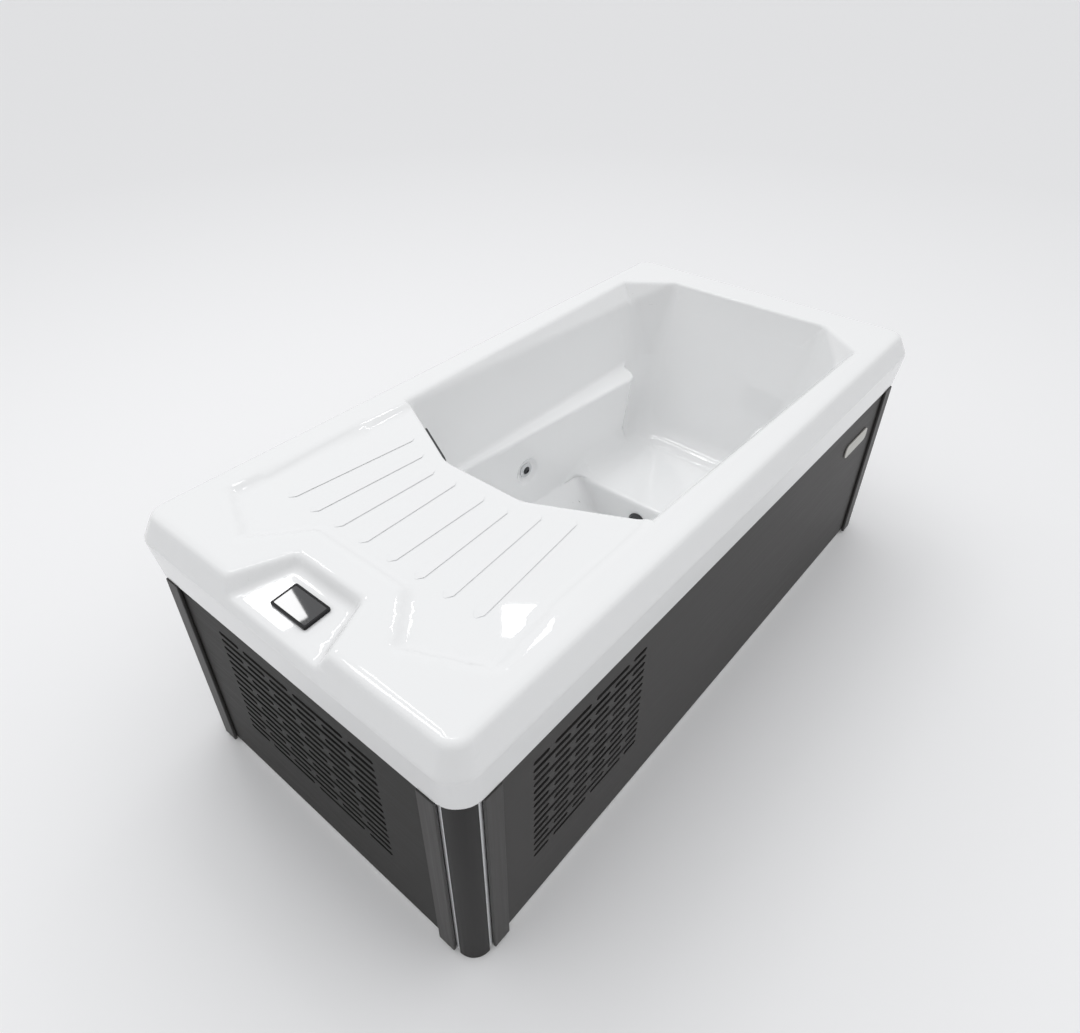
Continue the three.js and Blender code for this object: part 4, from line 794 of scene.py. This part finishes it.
@dataclass(frozen=True)
class Rounds:
    """Reach of each rounding of the shell, in millimetres."""

    upright: Spot = (70.0, 30.0, 12.0)
    lip: float = 12.0
    niche: float = 40.0
    tip: Plan = (150.0, 60.0)
    seat: Change = Change((-90.0, 30.0), (2.0, 80.0))
    ledge: float = 10.0
    arm_edge: Change = Change((-20.0, 60.0), (9.0, 1.0))
    brink: Change = Change((-70.0, -15.0), (1.0, 16.0))
    well_corner: float = 30.0
    well_foot: float = 26.0
    bevel: float = 4.0
    tray_corner: float = 5.0
    tray_foot: float = 3.5
    tray_edge: float = 10.0
    recess_corner: float = 12.0
    recess_foot: float = 9.0
    recess_edge: float = 4.0
    dish_foot: float = 4.0
    dish_edge: float = 3.0
    flare: float = 3.0
    rim: float = 12.0
    fold: Change = Change((-12.0, 12.0), (3.5, 8.0))


@dataclass
class Shell:
    """The moulded acrylic shell, as a field that is below zero in the laminate. Sizes are in millimetres."""

    height: float = 754.0
    end_x: float = 1000.0
    side_y: float = 488.0
    rim_low: float = 591.0
    rim_flare: float = 28.0
    rim_flare_drop: float = 62.0
    rim_tuck: float = 9.0
    rim_radii: Spot = (42.0, 58.0, 66.0)
    rim_even: float = 0.95
    wall: float = 8.0
    deck_top: float = 742.0
    deck_under: float = 730.0
    deck_zone: tuple[float, float, float] = (45.0, 40.0, 0.1)
    arm_level: float = 511.0
    arm_fall: float = 0.13
    seat_level: float = 235.0
    floor_level: float = 108.0
    lip: Plan = (-413.0, 125.0)
    lip_corner: Plan = (-285.0, 387.0)
    back_x: float = 885.0
    basin_y: float = 397.0
    back_half: float = 277.0
    arm_tip: Plan = (640.35, 240.4)
    arm_foot: Plan = (-284.0, 309.4)
    riser_x: float = 318.35
    well_in: Plan = (50.0, 80.0)
    well_even: float = 0.86
    bevel_foot: Spot = (760.3, 379.8, 698.0)
    bevel_high: Spot = (775.0, 424.0, 754.0)
    bevel_start: Spot = (-285.0, 393.3, 742.0)
    bevel_margin: Plan = (4.0, 20.0)
    tray: tuple[Plan, ...] = ((-284.0, 393.3), (-834.0, 424.0), (-917.0, 242.0), (-795.0, 135.0))
    tray_past: float = 30.0
    recess: tuple[Plan, Plan] = ((-861.0, 107.0), (-1000.0, 165.0))
    recess_depth: Plan = (26.0, 37.0)
    recess_foot: float = 10.0
    jet: Spot = (76.82, 289.37, 374.0)
    jet_axis: Plan = (0.0744, 0.9972)
    jet_hole: float = 17.0
    dish_radius: float = 36.0
    dish_depth: float = 30.0
    dish_even: float = 0.75
    suction: Spot = (318.35, 0.0, 162.0)
    suction_hole: float = 21.0
    hole_half: float = 40.0
    rib_start: float = -751.0
    rib_rows: tuple[float, float, float, int] = (46.0, 84.0, 72.0, 4)
    rib_size: Plan = (26.0, 3.4)
    rib_end: float = 14.0
    rib_margin: float = 44.0
    drafts: Drafts = Drafts()
    rounds: Rounds = Rounds()

    def build(self) -> None:
        """Draws the skin and the deck's ribs."""
        skin = Sampler().skin("shell_rough", self._solid, self._on_deck)
        Workshop.piece("shell_skin", skin, "tub", [ACRYLIC], "shell")
        Workshop.piece("deck_ribs", self._ribs(), "tub", [ACRYLIC])

    def _on_deck(self, points: np.ndarray, slope: np.ndarray) -> np.ndarray:
        """Says which points lie on the top of the deck.

        Args:
            points: Points in millimetres, one to a row.
            slope: The field's slope at each.

        Returns:
            True for those on the deck.
        """
        below, past, rise = self.deck_zone
        on_deck = (points[:, 2] > self.height - below) & (points[:, 0] < self.lip_corner[0] + past)
        return on_deck & (slope[:, 2] > rise)

    def _soft(self, p: Cloud) -> np.ndarray:
        """Reach of the rounding in the basin's upright corners, which grows towards the seat."""
        return np.interp(p.z, [self.seat_level, self.arm_level, self.height], self.rounds.upright)

    def _upper(self, p: Cloud) -> tuple[np.ndarray, np.ndarray, np.ndarray]:
        """The basin's walls above the arm rests.

        Args:
            p: Where.

        Returns:
            Fields of the long sides with their back corners, of the back, and of the wall under the deck.
        """
        top, drafts = self.height, self.drafts
        sides = Wall(0.0, 1.0, self.basin_y, drafts.side, top).field(p)
        leg = math.sqrt(0.5)
        deep = np.maximum(self.arm_level - p.z, 0.0)
        corner = Wall(leg, leg, leg * (self.back_x + self.back_half), drafts.corner, top).field(p)
        corner = corner + drafts.corner_low * deep
        back = Wall(1.0, 0.0, self.back_x, drafts.back, top).field(p)
        slant = Wall.through(self.lip, self.lip_corner, drafts.lip, top).field(p)
        ahead = Wall(-1.0, 0.0, -self.lip[0], drafts.lip, top).field(p)
        return joined_wall(sides, corner, self._soft(p)), back, joined_wall(slant, ahead, self.rounds.lip)

    def _basin(self, p: Cloud) -> np.ndarray:
        """The open space of the basin.

        Args:
            p: Where.

        Returns:
            A field below zero in the basin.
        """
        rounds = self.rounds
        sides, back, foot = self._upper(p)
        behind = Wall(-1.0, 0.0, -self.arm_tip[0], self.drafts.niche, self.arm_level).field(p)
        taper = Wall.through(self.arm_foot, self.arm_tip, self.drafts.arm, self.arm_level).field(p)
        niche = joined_wall(sides, behind, rounds.niche)
        tip = np.interp(p.z, [self.seat_level, self.arm_level], rounds.tip)
        seat = rounds.seat.at(p.x, self.riser_x)
        lower = joined_wall(joined_space(taper, niche, tip), self.seat_level - p.z, seat)
        ledge = self.arm_level + self.arm_fall * np.minimum(sides, 0.0) - p.z
        upper = joined_wall(sides, ledge, rounds.ledge)
        edge = rounds.arm_edge.at(p.x, self.arm_tip[0])
        space = joined_wall(joined_space(upper, lower, edge), back, self._soft(p))
        brink = rounds.brink.at(p.x, self.riser_x)
        return joined_space(joined_wall(space, foot, rounds.lip), self._well(p), brink)

    def _well(self, p: Cloud) -> np.ndarray:
        """The foot well, whose walls slope in towards its bottom.

        Args:
            p: Where.

        Returns:
            A field below zero in the well.
        """
        corner, foot = self.rounds.well_corner, self.rounds.well_foot
        ahead_in, side_in = self.well_in
        depth = self.height - self.seat_level
        fall = np.abs(self.seat_level - p.z) / (self.seat_level - self.floor_level)
        drop = self.drafts.arm * (self.arm_level - self.seat_level)
        taper = Wall.through(self.arm_foot, self.arm_tip).field(p) + drop + side_in * fall
        lip = self.drafts.lip * depth
        slant = Wall.through(self.lip, self.lip_corner).field(p) + lip + ahead_in * fall
        ahead = Wall(-1.0, 0.0, -self.lip[0]).field(p) + lip + ahead_in * fall
        walls = joined_wall(joined_wall(slant, ahead, corner), self.well_even * taper, corner)
        walls = joined_wall(walls, p.x - self.riser_x + np.maximum(p.z - self.seat_level, 0.0), foot)
        return joined_wall(walls, self.floor_level - p.z, foot)

    @staticmethod
    def _facet(p: Cloud, a: Spot, b: Spot, c: Spot) -> np.ndarray:
        """Distance under a flat facet.

        Args:
            p: Where.
            a: A corner.
            b: A corner.
            c: A corner.

        Returns:
            The field, below zero above the facet.
        """
        normal = (Vector(b) - Vector(a)).cross(Vector(c) - Vector(a)).normalized()
        if normal.z > 0.0:
            normal.negate()
        return normal.x * (p.x - a[0]) + normal.y * (p.side - a[1]) + normal.z * (p.z - a[2])

    def _bevels(self, p: Cloud) -> np.ndarray:
        """The long bevels along the rim and the facets in its back corners.

        Args:
            p: Where.

        Returns:
            A field below zero above them.
        """
        rim = (self.back_x, self.back_half, self.height)
        long = self._facet(p, self.bevel_start, self.bevel_foot, self.bevel_high)
        short = self._facet(p, self.bevel_foot, self.bevel_high, rim)
        before, under = self.bevel_margin
        limit = np.maximum(self.bevel_start[0] - before - p.x, self._upper(p)[1])
        return np.maximum(np.maximum(long, short), np.maximum(limit, self.bevel_foot[2] - under - p.z))

    def _deck(self, p: Cloud) -> np.ndarray:
        """The sunk tray of the deck, which skirts the control's recess.

        Args:
            p: Where.

        Returns:
            A field below zero in the tray.
        """
        lip, corner, tip, land = self.tray
        lean, soft = self.drafts.tray, self.rounds.tray_corner
        outer = Wall.through(corner, lip, lean, self.height).field(p)
        end = Wall.through(tip, corner, lean, self.height).field(p)
        land_side = Wall.through(land, tip, lean, self.height).field(p)
        land_front = Wall(-1.0, 0.0, -land[0], lean, self.height).field(p)
        edge = joined_wall(joined_wall(outer, end, soft), joined_space(land_side, land_front, soft), soft)
        tray = joined_wall(edge, self.deck_top - p.z, self.rounds.tray_foot)
        return np.maximum(tray, p.x - self.lip_corner[0] - self.tray_past)

    def _recess(self, p: Cloud) -> np.ndarray:
        """The control's recess, open at the end of the tub.

        Args:
            p: Where.

        Returns:
            A field below zero in the recess.
        """
        inner, mouth = self.recess
        across = Wall(1.0, 0.0, inner[0], self.drafts.recess, self.height).field(p)
        beside = Wall.through(mouth, inner, self.drafts.recess, self.height).field(p)
        walls = joined_wall(across, beside, self.rounds.recess_corner)
        slope = (self.recess_depth[1] - self.recess_depth[0]) / (inner[0] - self.recess_foot - mouth[0])
        level = self.height - self.recess_depth[0] + (p.x - inner[0] + self.recess_foot) * slope
        return joined_wall(walls, level - p.z, self.rounds.recess_foot)

    def _about_jet(self, p: Cloud) -> tuple[np.ndarray, np.ndarray]:
        """Where points lie about the jet's axis.

        Args:
            p: Where.

        Returns:
            Distance along the axis, and distance from it.
        """
        ax, ay = self.jet_axis
        x, y, z = p.x - self.jet[0], p.y - self.jet[1], p.z - self.jet[2]
        return x * ax + y * ay, np.sqrt((x * ay - y * ax) ** 2 + z ** 2)

    def _jet_dish(self, p: Cloud) -> np.ndarray:
        """The round dish that the jet sits in.

        Args:
            p: Where.

        Returns:
            A field below zero in the dish.
        """
        along, across = self._about_jet(p)
        cone = self.dish_even * (across - self.dish_radius + along * self.drafts.dish)
        return np.maximum(joined_wall(cone, along, self.rounds.dish_foot), -self.dish_depth - along)

    def _space(self, p: Cloud) -> np.ndarray:
        """All that is open above the skin, but for the deck's tray.

        Args:
            p: Where.

        Returns:
            A field below zero in the open.
        """
        space = joined_space(self._basin(p), self._bevels(p), self.rounds.bevel)
        space = joined_space(space, self._recess(p), self.rounds.recess_edge)
        return joined_space(space, self._jet_dish(p), self.rounds.dish_edge)

    def _rim(self, p: Cloud) -> np.ndarray:
        """The rim's outer face, without its top.

        Args:
            p: Where.

        Returns:
            A field below zero inside it.
        """
        drop = self.height - p.z
        upper = self.rim_flare * drop / self.rim_flare_drop
        band = self.height - self.rim_flare_drop - self.rim_low
        lower = self.rim_flare - self.rim_tuck * (drop - self.rim_flare_drop) / band
        flare = joined_space(upper, lower, self.rounds.flare)
        radius = np.interp(drop, [0.0, self.rim_flare_drop, self.height - self.rim_low], self.rim_radii)
        qx = np.abs(p.x) - (self.end_x + flare - radius)
        qy = p.side - (self.side_y + flare - radius)
        outside = np.sqrt(np.maximum(qx, 0.0) ** 2 + np.maximum(qy, 0.0) ** 2)
        return self.rim_even * (outside + np.minimum(np.maximum(qx, qy), 0.0) - radius)

    def _solid(self, p: Cloud) -> np.ndarray:
        """The laminate itself.

        Args:
            p: Where.

        Returns:
            A field below zero inside the laminate.
        """
        open_space, tray = self._space(p), self._deck(p)
        space = joined_space(open_space, tray, self.rounds.tray_edge)
        rim = self._rim(p)
        outer = joined_wall(rim, p.z - self.height, self.rounds.rim)
        hollow = np.maximum(rim + self.wall, p.z - self.deck_under)
        cap = np.maximum(np.maximum(outer, self.rim_low - p.z), -hollow)
        body = np.minimum(cap, np.maximum(space - self.wall, outer))
        solid = joined_wall(body, -space, self.rounds.fold.at(tray - open_space))
        along, across = self._about_jet(p)
        jet_hole = np.maximum(across - self.jet_hole, np.abs(along) - self.hole_half)
        drain = np.sqrt(p.y ** 2 + (p.z - self.suction[2]) ** 2)
        drain_hole = np.maximum(drain - self.suction_hole, np.abs(p.x - self.suction[0]) - self.hole_half)
        return np.maximum(solid, -np.minimum(jet_hole, drain_hole))

    def _ribs(self) -> bpy.types.Mesh:
        """Straight drainage ribs that fan over the deck: bars swept along lines, with small ends.

        Returns:
            The mesh.
        """
        first, pitch, lip_pitch, count = self.rib_rows
        slope = (self.lip_corner[0] - self.lip[0]) / (self.lip_corner[1] - self.lip[1])
        corners, edges = [], []
        for side in (1.0, -1.0):
            for i in range(count):
                end_y = first + i * lip_pitch
                end_x = self.lip[0] - self.rib_margin + max(0.0, end_y - self.lip[1]) * slope
                a = Vector((self.rib_start, side * (first + i * pitch)))
                b = Vector((end_x, side * end_y))
                end = (b - a).normalized() * self.rib_end
                edges += [(len(corners) + k, len(corners) + k + 1) for k in range(3)]
                for place in (a, a + end, b - end, b):
                    corners.append((place.x * MM, place.y * MM, self.deck_top * MM))
        mesh = bpy.data.meshes.new("rib_lines")
        mesh.from_pydata(corners, edges, [])
        width, rise = self.rib_size
        return Repeats.bars(mesh, width * MM, rise * MM, ACRYLIC)


@dataclass
class Skirt:
    """Panels, corner posts, bright strips and battens. Sizes are in metres."""

    batten_round: float = 0.0015
    trim_round: float = 0.0008
    badge_round: float = 0.0015
    pan_round: float = 0.002
    post_wall: float = 0.006
    post_steps: int = 24
    post_sharp: float = 30.0
    # The end panels take the darker copy of the board, whose darkness is painted shade.
    panels: dict[str, Finish] = field(default_factory=lambda: {
        "panel_end_service": BOARD_Y_PAINTED_SHADE, "panel_end_seat": BOARD_Y_PAINTED_SHADE,
        "panel_side_near": BOARD_X, "panel_side_far": BOARD_X,
    })

    def build(self) -> None:
        """Dresses the cabinet's outside."""
        for node, finish in self.panels.items():
            Workshop.paint(node, finish)
        for corner in CORNERS:
            self._post(corner)
            for face in ("end", "side"):
                self._batten(corner, face)
                trim = f"trim_{corner}_{face}"
                strip = Workshop.softened(trim, self.trim_round)
                Workshop.piece(f"{trim}_strip", strip, "tub", [SILVER], trim)
        badge = Workshop.softened("badge_plate", self.badge_round, 3)
        Workshop.piece("badge_blank", badge, "tub", [BADGE], "badge_plate")
        pan = Workshop.softened("base_pan", self.pan_round)
        Workshop.piece("pan_skin", pan, "tub", [PAN], "base_pan")

    def _batten(self, corner: str, side: str) -> None:
        """One batten: a board with black edges.

        Args:
            corner: Name of the corner.
            side: Either end or side.
        """
        node = f"batten_{corner}_{side}"
        mesh = Workshop.softened(node, self.batten_round)
        across = 0 if side == "end" else 1
        for polygon in mesh.polygons:
            polygon.material_index = 0 if abs(polygon.normal[across]) > 0.5 else 1
        body = "service_panel" if corner.startswith("deck") and side == "end" else "tub"
        Workshop.piece(f"{node}_board", mesh, body, [BOARD_Z, EDGE], node)

    def _post(self, corner: str) -> None:
        """One quarter-round corner post.

        Args:
            corner: Name of the corner.
        """
        node = f"corner_post_{corner}"
        low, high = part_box(node)
        sx = 1.0 if corner.startswith("seat") else -1.0
        sy = 1.0 if corner.endswith("far") else -1.0
        centre = Vector((low.x if sx > 0 else high.x, low.y if sy > 0 else high.y))
        outer = high.x - low.x
        inner = outer - self.post_wall
        arc = [math.pi / 2 * i / self.post_steps for i in range(self.post_steps + 1)]
        outline = [(outer * math.cos(a), outer * math.sin(a)) for a in arc]
        outline += [(inner * math.cos(a), inner * math.sin(a)) for a in reversed(arc)]
        shape = bmesh.new()
        loop = [shape.verts.new((centre.x + sx * x, centre.y + sy * y, low.z)) for x, y in outline]
        for i in range(self.post_steps):
            shape.faces.new((loop[i], loop[i + 1], loop[-2 - i], loop[-1 - i]))
        rise = bmesh.ops.extrude_face_region(shape, geom=list(shape.faces))
        top = [v for v in rise["geom"] if isinstance(v, bmesh.types.BMVert)]
        bmesh.ops.translate(shape, vec=(0, 0, high.z - low.z), verts=top)
        bmesh.ops.recalc_face_normals(shape, faces=shape.faces)
        mesh = Workshop.shaded(shape, node, self.post_sharp)
        Workshop.piece(f"{node}_cover", mesh, "tub", [POST], node)


@dataclass
class Control:
    """The flat touch control in the deck's recess. Sizes are in metres."""

    bezel_round: float = 0.0008
    glass_round: float = 0.0006
    steps: int = 3

    def build(self) -> None:
        """Dresses the bezel and the glass."""
        bezel = Workshop.softened("control_bezel", self.bezel_round, self.steps)
        Workshop.piece("control_frame", bezel, "tub", [BEZEL], "control_bezel")
        glass = Workshop.softened("control_glass", self.glass_round, self.steps)
        Workshop.piece("control_screen", glass, "tub", [GLASS], "control_glass")


@dataclass
class Fittings:
    """Jet, suction cover and skimmer front in the basin."""

    ring_share: float = 0.6
    suction_share: float = 0.78
    skimmer_share: float = 0.78
    skimmer_round: float = 0.0015
    skimmer_facing: Spot = (0.898, -0.439, 0.0)

    def build(self) -> None:
        """Dresses the fittings."""
        Workshop.piece("jet_ring", Workshop.smooth("jet_body"), "tub", [FITTING_RING], "jet_body")
        Workshop.piece("jet_ball", Workshop.smooth("jet_nozzle"), "jet_ball", [FITTING], "jet_nozzle")
        self._suction()
        self._skimmer()

    def _suction(self) -> None:
        """The suction cover, a little smaller than its solid, with a pale ring round its dark middle."""
        dome = Workshop.smooth("suction_cover")
        low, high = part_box("suction_cover")
        middle, edge = (low + high) / 2.0, (high.z - low.z) / 2.0
        for polygon in dome.polygons:
            away = math.hypot(polygon.center.y - middle.y, polygon.center.z - middle.z)
            polygon.material_index = 1 if away > self.ring_share * edge else 0
        for vertex in dome.vertices:
            vertex.co.y = middle.y + self.suction_share * (vertex.co.y - middle.y)
            vertex.co.z = middle.z + self.suction_share * (vertex.co.z - middle.z)
        Workshop.piece("suction_dome", dome, "tub", [FITTING, FITTING_RING], "suction_cover")

    def _skimmer(self) -> None:
        """The skimmer front, a little thinner than its solid."""
        plate = Workshop.softened("skimmer_front", self.skimmer_round)
        facing = Vector(self.skimmer_facing)
        back = min(vertex.co.dot(facing) for vertex in plate.vertices)
        for vertex in plate.vertices:
            vertex.co -= facing * (1.0 - self.skimmer_share) * (vertex.co.dot(facing) - back)
        Workshop.piece("skimmer_plate", plate, "tub", [FITTING], "skimmer_front")


@dataclass
class Equipment:
    """What stands under the deck and behind the panels."""

    box_round: float = 0.003
    finishes: dict[str, Finish] = field(default_factory=lambda: {
        "chiller_tray": SHEET, "fan_shroud": SHROUD, "condenser": FINS, "compressor": COMPRESSOR,
        "pump_motor": MOTOR, "pump_volute": FITTING, "filter_canister": FITTING, "water_cooler": COOLER,
        "pipe_suction": PIPE, "pipe_pump_filter": PIPE, "pipe_filter_cooler": PIPE, "pipe_cooler_jet": PIPE,
        "drain_valve": BRASS, "cable_gland": FITTING,
    })

    def build(self) -> None:
        """Dresses the equipment and the frame."""
        for node, finish in self.finishes.items():
            Workshop.piece(f"{node}_body", Workshop.smooth(node), "tub", [finish], node)
        Workshop.piece("fan_blades", Workshop.smooth("fan"), "fan_rotor", [FAN_PLASTIC], "fan")
        Workshop.piece("lever_grip", Workshop.smooth("drain_lever"), "valve_lever", [RED], "drain_lever")
        case = Workshop.softened("control_box", self.box_round)
        Workshop.piece("control_box_case", case, "tub", [BOX], "control_box")
        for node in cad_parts:
            if node.startswith("upright_"):
                Workshop.paint(node, FRAME_STEEL)
            if node.startswith("support_"):
                Workshop.paint(node, PLY)


@dataclass(frozen=True)
class SoftBox:
    """A soft box that shows in the gloss: its place, what it points at, its size and its power."""

    name: str
    place: Spot
    aim: Spot
    size: Plan
    power: float

    def build(self) -> None:
        """Makes the lamp."""
        data = bpy.data.lights.new(self.name, "AREA")
        data.shape = "RECTANGLE"
        data.size, data.size_y = self.size
        data.energy = self.power
        lamp = bpy.data.objects.new(self.name, data)
        bpy.context.scene.collection.objects.link(lamp)
        lamp.location = self.place
        lamp.rotation_euler = (Vector(self.aim) - Vector(self.place)).to_track_quat("-Z", "Y").to_euler()


@dataclass
class Studio:
    """Floor, light and camera. Sizes are in metres."""

    eye: Spot = (-1.4856, -1.0697, 1.8400)
    azimuth: float = -49.42
    elevation: float = 37.90
    roll: float = -0.317
    lens: float = 26.14
    sensor: float = 36.0
    shift: Plan = (0.0089, -0.0102)
    far_clip: float = 200.0
    tint: Colour = (0.985, 0.99, 1.0)
    horizon: float = 0.33
    zenith: float = 1.32
    sky_span: Plan = (0.0, 0.9)
    shade_towards: Spot = (-0.74, -0.64, 0.2)
    shade_span: Plan = (0.1, 0.9)
    shade: float = 0.42
    backdrop: Colour = (0.74, 0.74, 0.745)
    floor_half: float = 40.0
    floor_near: Colour = (0.90, 0.90, 0.905)
    # floor_far is painted shade: the floor's colour is darkened far from the tub, where the light falls off.
    floor_far: Colour = (0.82, 0.82, 0.825)
    floor_span: Plan = (1.5, 6.0)
    boxes: tuple[SoftBox, ...] = (
        SoftBox("box_recess", (-0.37, 2.24, 3.05), (-0.94, 0.0, 0.73), (0.30, 0.34), 2.3),
        SoftBox("box_deck", (0.93, 1.05, 3.00), (-0.69, -0.37, 0.74), (0.26, 0.18), 1.2),
        SoftBox("box_over", (-0.41, 1.97, 5.00), (0.65, 0.0, 0.24), (0.50, 1.60), 10.0),
        SoftBox("box_beyond", (0.60, 1.97, 5.00), (0.65, 0.0, 0.24), (0.35, 1.60), 7.0),
    )

    def build(self) -> None:
        """Makes the stage."""
        self._floor()
        self._sky()
        for box in self.boxes:
            box.build()
        self._camera()

    def _floor(self) -> None:
        """A plain pale floor, with painted shade that makes it a little darker far from the tub."""
        half = self.floor_half
        corners = [(-half, -half, 0), (half, -half, 0), (half, half, 0), (-half, half, 0)]
        mesh = bpy.data.meshes.new("floor")
        mesh.from_pydata(corners, [], [(0, 1, 2, 3)])
        floor = bpy.data.objects.new("floor", mesh)
        bpy.context.scene.collection.objects.link(floor)
        material = bpy.data.materials.new("floor_pale")
        material.use_nodes = True
        tree = material.node_tree
        place = added(tree, "ShaderNodeTexCoord", {}).outputs["Object"]
        away = added(tree, "ShaderNodeVectorMath", {0: place}, operation="LENGTH").outputs["Value"]
        near, far = self.floor_span
        reach = added(tree, "ShaderNodeMapRange", {"Value": away, "From Min": near, "From Max": far})
        feed(tree, tree.nodes["Principled BSDF"], {
            "Base Color": ramp(tree, reach.outputs["Result"], self.floor_near, self.floor_far),
            "Roughness": 0.7, "Specular IOR Level": 0.2,
        })
        mesh.materials.append(material)

    def _sky(self) -> None:
        """A pale room that is brightest overhead and dim on one side, before an even backdrop."""
        world = bpy.data.worlds.new("room")
        bpy.context.scene.world = world
        world.use_nodes = True
        tree = world.node_tree
        place = added(tree, "ShaderNodeTexCoord", {}).outputs["Generated"]
        rise = added(tree, "ShaderNodeSeparateXYZ", {"Vector": place}).outputs["Z"]
        low, high = (tuple(level * c for c in self.tint) for level in (self.horizon, self.zenith))
        towards = added(tree, "ShaderNodeVectorMath", {
            0: place, 1: Vector(self.shade_towards).normalized(),
        }, operation="DOT_PRODUCT")
        dim = added(tree, "ShaderNodeMapRange", {
            "Value": towards.outputs["Value"], "From Min": self.shade_span[0], "From Max": self.shade_span[1],
            "To Min": 1.0, "To Max": 1.0 - self.shade,
        }, interpolation_type="SMOOTHSTEP")
        sky = tree.nodes["Background"]
        feed(tree, sky, {"Color": ramp(tree, rise, low, high, self.sky_span), "Strength": dim.outputs["Result"]})
        backdrop = added(tree, "ShaderNodeBackground", {"Color": (*self.backdrop, 1.0)})
        rays = added(tree, "ShaderNodeLightPath", {}).outputs
        shown = rays["Is Camera Ray"]
        for kind in ("Is Glossy Ray", "Is Transmission Ray"):
            more = added(tree, "ShaderNodeMath", {0: shown, 1: rays[kind]}, operation="MAXIMUM")
            shown = more.outputs["Value"]
        either = added(tree, "ShaderNodeMixShader", {
            "Fac": shown, 1: sky.outputs["Background"], 2: backdrop.outputs["Background"],
        })
        feed(tree, tree.nodes["World Output"], {"Surface": either.outputs["Shader"]})

    def _camera(self) -> None:
        """The photograph's viewpoint."""
        azimuth, elevation, roll = (math.radians(v) for v in (self.azimuth, self.elevation, self.roll))
        flat = math.cos(elevation)
        back = Vector((math.sin(azimuth) * flat, -math.cos(azimuth) * flat, math.sin(elevation)))
        right = (-back).cross(Vector((0, 0, 1))).normalized()
        above = right.cross(-back)
        turned = right * math.cos(roll) + above * math.sin(roll)
        level = above * math.cos(roll) - right * math.sin(roll)
        data = bpy.data.cameras.new("photo")
        data.lens = self.lens
        data.sensor_width = self.sensor
        data.shift_x, data.shift_y = self.shift
        data.clip_end = self.far_clip
        camera = bpy.data.objects.new("photo", data)
        bpy.context.scene.collection.objects.link(camera)
        turn = Matrix((turned, level, back)).transposed().to_4x4()
        camera.matrix_world = Matrix.Translation(self.eye) @ turn
        bpy.context.scene.camera = camera


def main() -> None:
    """Builds the scene, and logs its parts and the skin's point and face counts."""
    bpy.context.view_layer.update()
    bpy.context.scene.view_settings.view_transform = "Standard"
    Studio().build()
    for assembly in (Shell(), Skirt(), Control(), Fittings(), Equipment()):
        log.info("build %s", type(assembly).__name__)
        assembly.build()


if __name__ == "__main__":
    main()
